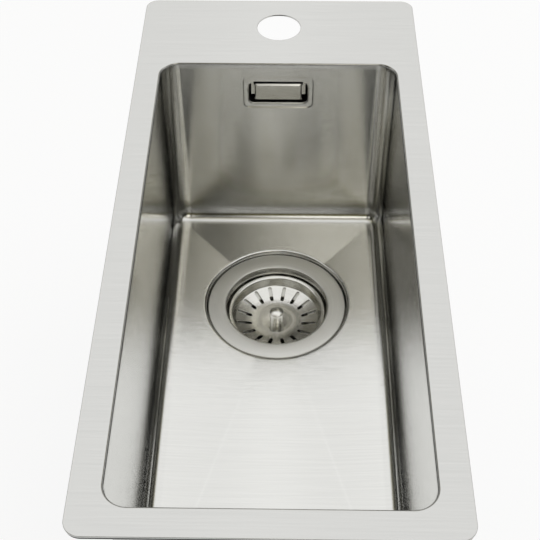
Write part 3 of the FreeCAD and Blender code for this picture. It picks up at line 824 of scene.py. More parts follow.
@dataclass
class Bowl:
    """The bent tub: walls, quarter bends, a floor folded to the drain and two pressed recesses."""

    opening: Opening
    lip_end: float
    recess_level: float
    drain_y: float
    overflow_z: float
    sheet: float = 1.0 * MM
    bend: float = 12 * MM
    fall: float = 5.6 * MM
    crease: float = 0.02
    recess_depth: float = 7.4 * MM
    recess_radius: float = 57.6 * MM
    recess_flare: float = 0.8 * MM
    recess_round: float = 2.0 * MM
    round_share: float = 0.45
    foot_round: float = 0.6 * MM
    drain_hole: float = 45 * MM
    hole_margin: float = 1.0 * MM
    pressing: tuple[float, float, float] = (27.2 * MM, 14.45 * MM, 4.0 * MM)
    pressing_rise: float = 1.4 * MM
    pressing_depth: float = 0.8 * MM
    pressing_draft: float = 0.9 * MM
    pressing_round: float = 0.25 * MM
    pressing_floor: float = 3.0 * MM
    slot: tuple[float, float, float] = (23.2 * MM, 9.7 * MM, 4.0 * MM)
    slot_lip: float = 1.6 * MM
    slot_turn: float = 1.0 * MM
    slot_rise: float = 2.6 * MM
    slot_fade: float = 6.0 * MM
    slot_lean: float = 0.3
    window_margin: float = 3.4 * MM
    window_steps: tuple[int, int, int] = (16, 8, 4)
    long_steps: int = 88
    rear_steps: int = 14
    front_steps: int = 36
    corner_steps: int = 12
    bend_steps: int = 12
    low_steps: int = 10
    floor_steps: int = 18
    brink_steps: int = 7
    brink_tries: int = 8
    foot_steps: int = 4
    pressing_steps: int = 5
    lip_steps: int = 8

    @property
    def floor(self) -> float:
        """Level of the floor at the foot of the walls."""
        return self.recess_level + self.recess_depth

    @property
    def pressing_z(self) -> float:
        """Level of the pressing's middle."""
        return self.overflow_z + self.pressing_rise

    @property
    def window(self) -> Flat:
        """Half width and half height of the wall's stretch that holds the overflow's pressing."""
        reach = self.pressing_draft + self.window_margin
        return self.pressing[0] + reach, self.pressing[1] + reach

    def window_loop(self) -> list[Flat]:
        """Points of that stretch's outline about the pressing's middle."""
        corner = self.pressing[2] + self.window_margin
        return rounded_loop(*self.window, corner, *self.window_steps, window=True)

    def window_columns(self) -> list[float]:
        """X of the rear wall's columns across the window, from right to left."""
        top = self.window[1]
        return sorted({round(u, 9) for u, v in self.window_loop() if abs(v - top) < TINY}, reverse=True)

    def wall_levels(self) -> list[float]:
        """Levels of the wall's rows.

        Returns:
            The levels, from the lip to the bend.
        """
        side = self.window[0]
        middle = sorted({round(v, 9) for u, v in self.window_loop() if abs(u - side) < TINY}, reverse=True)
        in_window = [self.pressing_z + v for v in middle]
        below = graded(in_window[-1], self.floor + self.bend, self.low_steps)
        return [self.lip_end] + in_window + below[1:]

    def stations(self) -> list[Station]:
        """The wall's columns.

        Returns:
            The columns, anticlockwise from the front of the right side.
        """
        op = self.opening
        straight_x = op.half_width - op.corner
        front, rear = op.front + op.corner, op.rear - op.corner
        columns = self.window_columns()
        rear_right = graded(straight_x, columns[0], self.rear_steps)[1:-1]
        rear_xs = rear_right + columns + [-x for x in rear_right[::-1]]
        side_ys = graded(front, rear, self.long_steps)[1:-1]
        front_xs = graded(-straight_x, straight_x, self.front_steps)[1:-1]

        def corner(x: float, y: float, start: float) -> list[Station]:
            """The columns of one rounded corner."""
            turns = steps(start, start + math.pi / 2, self.corner_steps)
            ways = [(math.cos(a), math.sin(a)) for a in turns]
            return [Station(x + op.corner * u, y + op.corner * v, u, v) for u, v in ways]

        found = [Station(op.half_width, y, 1.0, 0.0) for y in side_ys]
        found += corner(straight_x, rear, 0.0)
        found += [Station(x, op.rear, 0.0, 1.0) for x in rear_xs]
        found += corner(-straight_x, rear, math.pi / 2)
        found += [Station(-op.half_width, y, -1.0, 0.0) for y in side_ys[::-1]]
        found += corner(-straight_x, front, math.pi)
        found += [Station(x, op.front, 0.0, -1.0) for x in front_xs]
        return found + corner(straight_x, front, 3 * math.pi / 2)

    def floor_level(self, x: float, y: float) -> float:
        """Level of the folded floor, whose four planes meet in soft creases.

        Args:
            x: the place across the bowl.
            y: the place along it.

        Returns:
            The level there.
        """
        op = self.opening
        side = abs(x) / (op.half_width - self.bend)
        ahead = (y - self.drain_y) / (op.rear - self.bend - self.drain_y)
        behind = (self.drain_y - y) / (self.drain_y - op.front - self.bend)
        end = max(ahead, behind)
        overlap = max(self.crease - abs(side - end), 0.0) / self.crease
        rise = max(side, end) + overlap * overlap * self.crease / 4
        return self.floor - self.fall * (1 - rise)

    def floor_column(self, station: Station) -> list[Point]:
        """Points of one column of the floor.

        Args:
            station: the wall's column above it.

        Returns:
            The points, from the foot of the wall's bend to the edge of the drain's hole.
        """
        foot = Vector(station.inside(self.bend))
        centre = Vector((0.0, self.drain_y))
        way = (foot - centre).normalized()
        reach = (foot - centre).length

        def level(radius: float) -> float:
            """The floor's level at a distance from the drain."""
            return self.floor_level(*(centre + way * radius))

        lean = self.recess_flare / self.recess_depth
        edge = self.recess_radius
        for _ in range(self.brink_tries):
            edge = self.recess_radius + lean * (level(edge) - self.recess_level)
        brink = Vector((edge, level(edge)))
        down = Vector((-lean, -1.0)).normalized()
        depth = brink.y - self.recess_level
        start = Vector((edge + self.recess_round, level(edge + self.recess_round)))
        stop = brink + down * min(self.recess_round, self.round_share * depth)
        foot_corner = Vector((self.recess_radius, self.recess_level))
        before = foot_corner - down * self.foot_round
        after = foot_corner - Vector((self.foot_round, 0.0))
        section = [Vector((r, level(r))) for r in graded(reach, start.x, self.floor_steps)[:-1]]
        section += [self.bow(start, brink, stop, t) for t in steps(0.0, 1.0, self.brink_steps)]
        section += [self.bow(before, foot_corner, after, t) for t in steps(0.0, 1.0, self.foot_steps)]
        last = (self.drain_hole + self.hole_margin, self.drain_hole)
        section += [Vector((r, self.recess_level)) for r in last]
        return [(way.x * s.x, self.drain_y + way.y * s.x, s.y) for s in section]

    @staticmethod
    def bow(start: Vector, corner: Vector, stop: Vector, t: float) -> Vector:
        """A point on the curve that rounds a corner."""
        return start * (1 - t) ** 2 + corner * (2 * t * (1 - t)) + stop * t * t

    def draw_tub(self, draft: Draft) -> list[list[int]]:
        """Draw the walls, bends and floor, with a hole where the overflow's pressing goes.

        Args:
            draft: the mesh that is being drawn.

        Returns:
            The wall's rows of point numbers, from the lip down.
        """
        columns = self.stations()
        rows = [[(s.x, s.y, z) for s in columns] for z in self.wall_levels()]
        walls = len(rows)
        for angle in steps(0.0, math.pi / 2, self.bend_steps)[1:-1]:
            inside = self.bend * (1 - math.cos(angle))
            z = self.floor + self.bend * (1 - math.sin(angle))
            rows.append([(*s.inside(inside), z) for s in columns])
        floors = [self.floor_column(s) for s in columns]
        rows += [list(row) for row in zip(*floors)]
        numbers = [draft.row(row) for row in rows]
        side, half_height = self.window
        for i, (upper, lower) in enumerate(zip(numbers, numbers[1:])):
            middle = (rows[i][0][2] + rows[i + 1][0][2]) / 2
            in_rows = i < walls and abs(middle - self.pressing_z) < half_height
            for j in range(len(columns)):
                k = (j + 1) % len(columns)
                a, b = columns[j], columns[k]
                in_window = a.on_rear and b.on_rear and abs(a.x + b.x) / 2 < side
                if not (in_rows and in_window):
                    draft.faces.append((upper[j], upper[k], lower[k], lower[j]))
        return numbers[:walls]

    def pressing_section(self) -> list[Flat]:
        """The overflow pressing's section.

        Returns:
            Growth of its outline and depth behind the wall, from the mouth to its floor.
        """
        mouth, depth = self.pressing_draft, self.pressing_depth
        brim = mouth + self.window_margin / 2
        corners = [(brim, 0.0), (mouth, 0.0), (0.0, depth), (-self.pressing_floor, depth)]
        return bent_path(corners, [self.pressing_round] * 2, self.pressing_steps)

    def draw_pressing(self, draft: Draft, outline: Sequence[int]) -> None:
        """Draw the overflow's pressing and the turned edge of its slot.

        Args:
            draft: the mesh that is being drawn.
            outline: the point numbers round the wall's window.
        """
        rows = [list(outline)]
        half_u, half_v, corner = self.pressing
        for grow, depth in self.pressing_section()[:-1]:
            loop = rounded_loop(half_u + grow, half_v + grow, corner + grow, *self.window_steps)
            rows.append(self.pressing_row(draft, loop, depth))
        half_u, half_v, corner = self.slot
        lip = quarter_round(self.slot_lip, self.lip_steps)
        for grow, drop in lip + [(0.0, self.sheet + self.slot_turn)]:
            loop = rounded_loop(half_u + grow, half_v + grow, corner + grow, *self.window_steps)
            rows.append(self.lip_row(draft, loop, drop))
        draft.loft(rows)

    def pressing_row(self, draft: Draft, loop: Sequence[Flat], depth: float) -> list[int]:
        """A row of points round the pressing, at a depth behind the rear wall."""
        y = self.opening.rear + depth
        return draft.row((u, y, self.pressing_z + v) for u, v in loop)

    def lip_row(self, draft: Draft, loop: Sequence[Flat], drop: float) -> list[int]:
        """A row round the slot, whose edge is turned back but for its top, where it is plain and higher.

        Args:
            draft: the mesh that is being drawn.
            loop: the row's outline about the slot's middle.
            drop: how far the turned edge goes back there.

        Returns:
            The row's point numbers.
        """
        face = self.opening.rear + self.pressing_depth
        points: list[Point] = []
        for u, v in loop:
            t = min(max((self.slot[1] - v) / self.slot_fade, 0.0), 1.0)
            turned = t * t * (3 - 2 * t)
            rise = (self.slot_rise - self.slot_lean * drop) * (1 - turned)
            points.append((u, face + drop * turned, self.overflow_z + v + rise))
        return draft.row(points)

    def build(self) -> bpy.types.Object:
        """Draw the inner face and give it the sheet's thickness.

        Returns:
            The finished piece.
        """
        draft = Draft()
        walls = self.draw_tub(draft)
        rear = [number for row in walls for number in row
                if abs(draft.points[number][1] - self.opening.rear) < TINY]

        def nearest(u: float, v: float) -> int:
            """The rear wall's point at a place about the pressing's middle."""
            place = (u, self.opening.rear, self.pressing_z + v)
            return min(rear, key=lambda number: math.dist(draft.points[number], place))

        self.draw_pressing(draft, [nearest(u, v) for u, v in self.window_loop()])
        piece = draft.piece("brushed_bowl")
        thicken(piece, self.sheet)
        settle(piece)
        return piece


class NodeTool:
    """A Geometry Nodes tree with named inputs that is run once on a piece."""

    def __init__(self, name: str, inputs: Mapping[str, str]) -> None:
        """Make the tree.

        Args:
            name: the tree's name.
            inputs: socket type of each input, by name; the first is the geometry.
        """
        self.tree = bpy.data.node_groups.new(name, "GeometryNodeTree")
        self.identifiers: dict[str, str] = {}
        for label, kind in inputs.items():
            socket = self.tree.interface.new_socket(label, in_out="INPUT", socket_type=kind)
            self.identifiers[label] = socket.identifier
        self.tree.interface.new_socket("Geometry", in_out="OUTPUT", socket_type="NodeSocketGeometry")
        self.graph = Graph(self.tree)
        self.inlet = self.tree.nodes.new("NodeGroupInput")

    def given(self, label: str) -> Signal:
        """The tree's input of that name."""
        return Signal(self.graph, self.inlet.outputs[label])

    def close(self, geometry: Signal) -> None:
        """End the tree in real geometry with its material.

        Args:
            geometry: the geometry that the tree has made.
        """
        real = self.graph.node("GeometryNodeRealizeInstances", None, {0: geometry})
        merged = self.graph.node("GeometryNodeMergeByDistance", None, {"Geometry": real, "Distance": WELD})
        dressed = self.graph.node("GeometryNodeSetMaterial", None,
                                  {"Geometry": merged, "Material": self.given("Material")})
        self.graph.node("NodeGroupOutput", None, {0: dressed})

    def run(self, piece: bpy.types.Object, values: Mapping[str, object]) -> None:
        """Put the tree on a piece with its inputs set.

        Args:
            piece: the piece, whose mesh is the tree's first input.
            values: the other inputs, by name.
        """
        modifier = piece.modifiers.new(self.tree.name, "NODES")
        modifier.node_group = self.tree
        for label, value in values.items():
            modifier[self.identifiers[label]] = value


def ring_tool() -> NodeTool:
    """A tree that repeats one sector round an upright axis and sets the ring in its place.

    Returns:
        The finished tool.
    """
    tool = NodeTool("ring_of_sectors", {"Sector": "NodeSocketGeometry", "Count": "NodeSocketInt",
                                        "First": "NodeSocketFloat", "Centre": "NodeSocketVector",
                                        "Material": "NodeSocketMaterial"})
    graph = tool.graph
    count = tool.given("Count")
    index = graph.node("GeometryNodeInputIndex")
    turn = graph.vector(0.0, 0.0, index / count * (2 * math.pi) + tool.given("First"))
    rotation = graph.node("FunctionNodeEulerToRotation", None, {0: turn})
    posts = graph.node("GeometryNodePoints", None, {"Count": count})
    ring = graph.node("GeometryNodeInstanceOnPoints", None,
                      {"Points": posts, "Instance": tool.given("Sector"), "Rotation": rotation})
    placed = graph.node("GeometryNodeTransform", None,
                        {"Geometry": ring, "Translation": tool.given("Centre")})
    tool.close(placed)
    return tool


def thread_tool(sides: int = 20, rows_per_turn: float = 6.0) -> NodeTool:
    """A tree that sets an upright threaded rod on each point of a piece.

    Args:
        sides: points round a rod.
        rows_per_turn: rows of points in each turn of its thread.

    Returns:
        The finished tool.
    """
    tool = NodeTool("threaded_rods", {"Places": "NodeSocketGeometry", "Radius": "NodeSocketFloat",
                                      "Depth": "NodeSocketFloat", "Pitch": "NodeSocketFloat",
                                      "Length": "NodeSocketFloat", "Material": "NodeSocketMaterial"})
    graph = tool.graph
    rows = graph.node("ShaderNodeMath", {"operation": "ROUND"},
                      {0: tool.given("Length") / tool.given("Pitch") * rows_per_turn})
    rod = graph.node("GeometryNodeMeshCylinder", {"fill_type": "NGON"},
                     {"Vertices": sides, "Side Segments": rows, "Radius": tool.given("Radius"),
                      "Depth": tool.given("Length")})
    x, y, z = graph.parts(graph.node("GeometryNodeInputPosition"))
    angle = graph.node("ShaderNodeMath", {"operation": "ARCTAN2"}, {0: y, 1: x}) / (2 * math.pi)
    turns = graph.node("ShaderNodeMath", {"operation": "FRACT"}, {0: z / tool.given("Pitch") - angle})
    flank = abs(turns - 0.5) * 2.0
    drawn_in = 1.0 - flank * tool.given("Depth") / tool.given("Radius")
    cut = graph.node("GeometryNodeSetPosition", None,
                     {"Geometry": rod, "Position": graph.vector(x * drawn_in, y * drawn_in, z)})
    rods = graph.node("GeometryNodeInstanceOnPoints", None,
                      {"Points": tool.given("Places"), "Instance": cut})
    tool.close(rods)
    return tool


@dataclass(frozen=True)
class Punch:
    """A round or round-ended hole punched on a radius."""

    inner: float
    outer: float
    width: float

    @property
    def straight(self) -> float:
        """Length of its straight sides."""
        return self.outer - self.inner - self.width

    def at(self, distance: float) -> Flat:
        """A point of its edge.

        Args:
            distance: how far round the edge, anticlockwise from the outermost point.

        Returns:
            The point, outwards and across.
        """
        radius = self.width / 2
        quarter = radius * math.pi / 2
        whole = 4 * quarter + 2 * self.straight
        s = distance % whole
        mirror = -1.0 if s > whole / 2 else 1.0
        s = min(s, whole - s)
        if s <= quarter:
            angle = s / radius
            return self.outer - radius + radius * math.cos(angle), mirror * radius * math.sin(angle)
        if s <= quarter + self.straight:
            return self.outer - radius - (s - quarter), mirror * radius
        angle = math.pi / 2 + (s - quarter - self.straight) / radius
        return self.inner + radius + radius * math.cos(angle), mirror * radius * math.sin(angle)

    def outline(self, across: int, along: int) -> list[Flat]:
        """Points round its edge.

        Args:
            across: steps at each end.
            along: steps on each side.

        Returns:
            The points, anticlockwise.
        """
        radius = self.width / 2
        half = math.pi * radius + self.straight
        end = radius * math.pi / (2 if self.straight > radius else 4)
        marks = steps(-end, end, across)[:-1] + steps(end, half - end, along)[:-1]
        marks += steps(half - end, half + end, across)[:-1] + steps(half + end, 2 * half - end, along)[:-1]
        return [self.at(mark) for mark in marks]


@dataclass
class SpunSheet:
    """A pressed round sheet with a ring of punched holes, drawn as one sector and repeated."""

    name: str
    path: Sequence[Flat]
    radii: Sequence[float]
    sheet: float
    holes: Punch
    band: Flat
    count: int
    centre: Point
    first_angle: float = 0.0
    edge: float = 0.15 * MM
    across: int = 8
    along: int = 10
    row_shares: Sequence[float] = (0.0, 0.3, 0.6, 0.82, 0.94, 1.0)

    def level(self, section: Sequence[Flat], radius: float) -> float:
        """The sheet's level.

        Args:
            section: the sheet's bent section.
            radius: a radius inside the punched band.

        Returns:
            The level there.
        """
        for (r0, z0), (r1, z1) in zip(section, section[1:]):
            if r1 <= radius <= r0 and r0 - r1 > TINY:
                return z0 + (z1 - z0) * (r0 - radius) / (r0 - r1)
        raise ValueError(f"{self.name} has no level at {radius}")

    def sector(self) -> bpy.types.Object:
        """Draw one sector about the axis, with its hole.

        Returns:
            The sector, still without thickness.
        """
        section = bent_path(self.path, self.radii)
        outer, inner = self.band
        half = math.pi / self.count
        angles = steps(-half, half, self.across)
        draft = Draft()
        rim = [at for at in section if at[0] > outer] + [(outer, self.level(section, outer))]
        floor = [(inner, self.level(section, inner))] + [at for at in section if at[0] < inner]
        for stretch in (rim, floor):
            rows = [draft.row((r * math.cos(a), r * math.sin(a), z) for a in angles) for r, z in stretch]
            draft.loft(rows, closed=False)
        border = [(outer * math.cos(a), outer * math.sin(a)) for a in angles[:-1]]
        border += [(r * math.cos(half), r * math.sin(half)) for r in steps(outer, inner, self.along)[:-1]]
        border += [(inner * math.cos(a), inner * math.sin(a)) for a in angles[:0:-1]]
        border += [(r * math.cos(half), -r * math.sin(half)) for r in steps(inner, outer, self.along)[:-1]]
        hole = self.holes.outline(self.across, self.along)
        rows = []
        for share in self.row_shares:
            flat = [(bx + (hx - bx) * share, by + (hy - by) * share)
                    for (bx, by), (hx, hy) in zip(border, hole)]
            rows.append(draft.row((x, y, self.level(section, math.hypot(x, y))) for x, y in flat))
        draft.loft(rows)
        return draft.piece(self.name)

    def build(self, tool: NodeTool, material: bpy.types.Material) -> bpy.types.Object:
        """Repeat the sector, give it thickness and bake it.

        Args:
            tool: the tree that repeats it.
            material: its finish.

        Returns:
            The finished piece.
        """
        piece = self.sector()
        tool.run(piece, {"Count": self.count, "First": self.first_angle, "Centre": self.centre,
                         "Material": material})
        settle(piece)
        thicken(piece, self.sheet, self.edge)
        settle(piece)
        return piece


@dataclass
class Strainer:
    """The cup in the drain, the slotted basket in it and the basket's knob.

    The sections of both sheets are in millimetres, from the middle of the flange's face.
    """

    drain_y: float
    flange: float
    knob_low: float
    knob_high: float
    knob_radius: float
    cup_sheet: float = 0.9 * MM
    cup_path: Sequence[Flat] = ((57.0, -1.8), (57.0, 0.0), (41.4, 0.0), (41.4, -14.19), (26.0, -19.65),
                                (24.0, -34.0), (9.6, -34.0), (8.2, -42.0), (3.2, -42.0))
    cup_bends: Sequence[float] = (1.2, 2.0, 3.0, 2.0, 3.0, 1.2, 1.0)
    outlet: Punch = Punch(10.8 * MM, 17.6 * MM, 6.8 * MM)
    outlet_band: Flat = (20.6 * MM, 10.75 * MM)
    outlet_count: int = 8
    basket_sheet: float = 0.8 * MM
    basket_path: Sequence[Flat] = ((40.2, -9.0), (40.2, -7.5), (36.6, -8.5), (34.6, -15.0), (20.5, -20.0),
                                   (2.2, -20.0))
    basket_bends: Sequence[float] = (1.0, 1.4, 1.4, 36.0)
    slot: Punch = Punch(21.0 * MM, 33.4 * MM, 3.0 * MM)
    slot_band: Flat = (33.6 * MM, 20.8 * MM)
    slot_count: int = 16
    slot_edge: float = 0.25 * MM
    knob_foot: float = 5.3 * MM
    knob_waist: float = 5.0 * MM
    knob_dome: float = 1.7 * MM
    knob_brim: float = 0.5 * MM
    head_power: int = 4
    foot_power: int = 3
    knob_steps: int = 64
    dome_steps: int = 14
    waist_steps: int = 16
    brim_steps: int = 5
    knob_sharp_degrees: float = 60.0

    @property
    def centre(self) -> Point:
        """The middle of the flange's face."""
        return 0.0, self.drain_y, self.flange

    @staticmethod
    def in_metres(path: Sequence[Flat]) -> list[Flat]:
        """A section's points, from millimetres."""
        return [(r * MM, z * MM) for r, z in path]

    def cup(self) -> SpunSheet:
        """The flanged cup with outlet holes in its floor."""
        bends = [r * MM for r in self.cup_bends]
        return SpunSheet("spun_cup", self.in_metres(self.cup_path), bends, self.cup_sheet, self.outlet,
                         self.outlet_band, self.outlet_count, self.centre)

    def basket(self) -> SpunSheet:
        """The basket, slotted on its slope."""
        bends = [r * MM for r in self.basket_bends]
        return SpunSheet("slotted_basket", self.in_metres(self.basket_path), bends, self.basket_sheet,
                         self.slot, self.slot_band, self.slot_count, self.centre,
                         math.pi / self.slot_count, self.slot_edge)

    def knob_section(self) -> list[Flat]:
        """The knob's section.

        Returns:
            Radius and height of its rows, from the crown to the foot.
        """
        height = self.knob_high - self.knob_low
        brim, shoulder = self.knob_radius, height - self.knob_dome
        dome = (brim ** 2 + self.knob_dome ** 2) / (2 * self.knob_dome)
        full = math.asin(brim / dome)
        crown = [(dome * math.sin(a), height - dome * (1 - math.cos(a)))
                 for a in steps(0.0, full, self.dome_steps)[1:]]
        foot = []
        for t in steps(0.0, 1.0, self.waist_steps)[1:]:
            head_share, foot_share = (1 - t) ** self.head_power, t ** self.foot_power
            radius = self.knob_waist + (brim - self.knob_waist) * head_share
            foot.append((radius + (self.knob_foot - self.knob_waist) * foot_share, shoulder * (1 - t)))
        edge = bent_path([crown[-3], crown[-1], foot[0]], [self.knob_brim], self.brim_steps)
        return crown[:-3] + edge + foot[1:]

    def knob(self) -> bpy.types.Object:
        """Draw the waisted knob with its low domed head.

        Returns:
            The finished piece.
        """
        draft = Draft()
        turns = full_turn(self.knob_steps)
        rows = []
        for r, z in self.knob_section():
            level = self.knob_low + z
            rows.append(draft.row((r * math.cos(a), self.drain_y + r * math.sin(a), level) for a in turns))
        draft.loft(rows[::-1])
        crown = draft.row([(0.0, self.drain_y, self.knob_high)])[0]
        foot = draft.row([(0.0, self.drain_y, self.knob_low)])[0]
        draft.fan(rows[0], crown)
        draft.fan(rows[-1][::-1], foot)
        piece = draft.piece("turned_knob")
        settle(piece, self.knob_sharp_degrees)
        return piece


@dataclass
class Studs:
    """The clamps' threaded studs, one in each corner of their node's box."""

    low: Vector
    high: Vector
    radius: float = 2.5 * MM
    pitch: float = 0.8 * MM
    depth: float = 0.42 * MM

    def places(self) -> list[Point]:
        """Where the studs stand.

        Returns:
            The middle of each stud.
        """
        across, along = self.high.x - self.radius, self.high.y - self.radius
        middle = (self.low.z + self.high.z) / 2
        return [(x, y, middle) for x in (-across, across) for y in (-along, along)]

    def build(self, tool: NodeTool, material: bpy.types.Material) -> bpy.types.Object:
        """Set a threaded rod at each place.

        Args:
            tool: the tree that makes the rods.
            material: their finish.

        Returns:
            The finished piece.
        """
        draft = Draft()
        draft.row(self.places())
        piece = draft.piece("threaded_clamp_studs")
        tool.run(piece, {"Radius": self.radius, "Depth": self.depth, "Pitch": self.pitch,
                         "Length": self.high.z - self.low.z, "Material": material})
        settle(piece)
        return piece


@dataclass
class Bridge:
    """The plate behind the overflow's slot that carries the cover, notched so that water runs over it."""

    low: Vector
    high: Vector
    screw_level: float
    bar_half: float = 21.6 * MM
    tab_height: float = 4.1 * MM
    notch_half: float = 19.6 * MM
    notch_depth: float = 5.4 * MM
    hole_radius: float = 1.65 * MM
    hole_steps: int = 24

    def outline(self) -> list[Flat]:
        """The plate's outline.

        Returns:
            X and level of its corners, anticlockwise as seen from the bowl.
        """
        tab_low = self.high.z - self.tab_height
        notch_low = self.high.z - self.notch_depth
        right = [(self.bar_half, self.low.z), (self.bar_half, tab_low), (self.high.x, tab_low),
                 (self.high.x, self.high.z), (self.notch_half, self.high.z), (self.notch_half, notch_low)]
        return right + [(-x, z) for x, z in right[::-1]]

    def hole(self) -> list[Flat]:
        """X and level round the screw's hole."""
        return [(self.hole_radius * math.cos(a), self.screw_level + self.hole_radius * math.sin(a))
                for a in full_turn(self.hole_steps)]

    def build(self) -> bpy.types.Object:
        """Draw both faces and the edges between them.

        Returns:
            The finished piece.
        """
        draft = Draft()
        loops = (self.outline(), self.hole())
        front = [draft.row((x, self.low.y, z) for x, z in loop) for loop in loops]
        back = [draft.row((x, self.high.y, z) for x, z in loop) for loop in loops]
        draft.fill(front, (0.0, -1.0, 0.0))
        draft.fill(back, (0.0, 1.0, 0.0))
        draft.strip(back[0], front[0])
        draft.strip(front[1], back[1])
        piece = draft.piece("notched_bridge")
        settle(piece)
        return piece


def looked_at(graph: Graph, shine: float = 1.0) -> Signal:
    """Tell the rays that show a stage to the camera from those that light the sink.

    Args:
        graph: the stage's tree.
        shine: the share for rays that metal sends on.

    Returns:
        1 for rays from the camera or through glass, shine for those that metal sends on, and otherwise 0.
    """
    camera = graph.node("ShaderNodeLightPath", out="Is Camera Ray")
    outlets = camera.socket.node.outputs
    shiny = Signal(graph, outlets["Is Glossy Ray"]) * shine
    clear = Signal(graph, outlets["Is Transmission Ray"])
    return camera.larger(shiny).larger(clear)


@dataclass
class Ground:
    """The pale floor, which keeps the shadow, looks white to the camera and is clear from below."""

    level: float
    half: float = 4.0
    colour: Colour = (0.90, 0.90, 0.895)
    glow: float = 0.88
    shine: float = 0.4

    def build(self) -> None:
        """Lay the floor."""
        draft = Draft()
        corners = [(-self.half, -self.half), (self.half, -self.half), (self.half, self.half),
                   (-self.half, self.half)]
        draft.faces.append(tuple(draft.row((x, y, self.level) for x, y in corners)))
        piece = draft.piece("studio_floor")
        graph = ShaderGraph("pale_floor")
        paint = graph.node("ShaderNodeBsdfDiffuse", None, {"Color": (*self.colour, 1.0)})
        white = graph.node("ShaderNodeEmission", None, {"Color": (1.0, 1.0, 1.0, 1.0), "Strength": 1.0})
        seen = looked_at(graph, self.shine) * self.glow
        mixed = graph.node("ShaderNodeMixShader", None, {0: seen, 1: paint, 2: white})
        clear = graph.node("ShaderNodeBsdfTransparent")
        below = graph.node("ShaderNodeNewGeometry", out="Backfacing")
        sided = graph.node("ShaderNodeMixShader", None, {0: below, 1: mixed, 2: clear})
        graph.node("ShaderNodeOutputMaterial", None, {"Surface": sided})
        piece.data.materials.append(graph.material)


@dataclass
class Room:
    """Light from all round: bright to the rear and above, dark and warm behind the camera, grey low down.

    Spans are where a light fades in, as parts of the way that a ray goes.
    """

    bright_way: Point = (0.4, 1.0, 0.9)
    bright_level: float = 1.0
    dark_level: float = 0.022
    low_level: float = 0.05
    skirt_level: float = 0.45
    dark_tint: Colour = (1.0, 0.95, 0.72)
    pale_tint: Colour = (1.0, 1.0, 0.985)
    open_span: Flat = (0.12, 0.66)
    raised_span: Flat = (0.08, 0.42)
    raised_slope: float = 0.5
    crown_level: float = 0.95
    crown_boost: float = 0.08
    crown_x: float = -0.012
    crown_half: float = 0.04
    low_span: Flat = (0.42, 0.55)
    low_side: Flat = (-0.5, 0.15)
    skirt_span: Flat = (0.22, 0.32)
    skirt_side: Flat = (0.12, 0.38)
    skirt_lift: float = 0.3
    pale_span: Flat = (0.35, 0.9)
    white_span: Flat = (0.9, 1.0)

    def build(self) -> None:
        """Light the room, which is plain white to the camera itself."""
        world = bpy.data.worlds.new("studio")
        bpy.context.scene.world = world
        world.use_nodes = True
        world.node_tree.nodes.clear()
        graph = Graph(world.node_tree)
        x, y, z = graph.parts(graph.node("ShaderNodeTexCoord", out="Generated"))
        axis = Vector(self.bright_way).normalized()
        facing = x * axis.x + y * axis.y + z * axis.z
        raised = (z - abs(x) * self.raised_slope).ease(*self.raised_span)
        open_side = facing.ease(*self.open_span) * raised
        shut_side = 1.0 - open_side
        middle = 1.0 - abs(x - self.crown_x).ease(0.0, self.crown_half)
        crown = self.crown_level + middle * self.crown_boost
        low = (1.0 - z.ease(*self.low_span)) * shut_side * x.ease(*self.low_side) * self.low_level
        sideways = 1.0 - abs(y).ease(*self.skirt_side)
        skirt = (1.0 - (z - sideways * self.skirt_lift).ease(*self.skirt_span)) * shut_side
        light = self.dark_level + (self.bright_level - self.dark_level) * open_side * crown
        light = light + low + skirt * self.skirt_level
        seen = graph.node("ShaderNodeLightPath", out="Is Camera Ray")
        white = seen.larger(looked_at(graph) * open_side.ease(*self.white_span))
        pale = open_side.ease(*self.pale_span).larger(white).larger(skirt)
        tint = graph.blend(pale, self.dark_tint, self.pale_tint)
        level = light * (1.0 - seen) + seen
        shader = graph.node("ShaderNodeBackground", None, {"Color": tint, "Strength": level})
        graph.node("ShaderNodeOutputWorld", None, {"Surface": shader})


@dataclass
class Card:
    """A pale reflector over the camera, brighter to the right, that only shiny metal shows.

    Spans are places in metres where a light fades in, across the card or up it.
    """

    half_width: float = 0.5
    low_edge: Flat = (-0.86, 0.47)
    high_edge: Flat = (-0.42, 0.83)
    level: float = 1.5
    least: float = 0.05
    right_span: Flat = (-0.15, 0.08)
    left_level: float = 0.5
    left_span: Flat = (-0.22, -0.165)
    low_level: float = 0.08
    low_span: Flat = (-0.15, -0.03)
    height_span: Flat = (0.63, 0.71)
    fade: float = 0.5
    fade_span: Flat = (0.2, 0.5)
    low_tint: Colour = (1.0, 0.90, 0.40)
    pale_tint: Colour = (1.0, 0.98, 0.925)

    def build(self) -> None:
        """Hang the card."""
        draft = Draft()
        low = [(-self.half_width, *self.low_edge), (self.half_width, *self.low_edge)]
        high = [(self.half_width, *self.high_edge), (-self.half_width, *self.high_edge)]
        draft.faces.append(tuple(draft.row(low + high)))
        piece = draft.piece("reflector_card")
        piece.visible_camera = False
        piece.visible_diffuse = False
        piece.visible_shadow = False
        graph = ShaderGraph("pale_card")
        across, _, height = graph.parts(graph.place())
        right = across.ease(*self.right_span) * (1.0 - self.least)
        left = (1.0 - across.ease(*self.left_span)) * self.left_level
        upper = self.least + right + left
        lower = across.ease(*self.low_span) * self.low_level
        share = height.ease(*self.height_span)
        faded = 1.0 - across.ease(*self.fade_span) * self.fade
        level = (lower + (upper - lower) * share) * faded * self.level
        tint = graph.blend(share, self.low_tint, self.pale_tint)
        glow = graph.node("ShaderNodeEmission", None, {"Color": tint, "Strength": level})
        graph.node("ShaderNodeOutputMaterial", None, {"Surface": glow})
        piece.data.materials.append(graph.material)


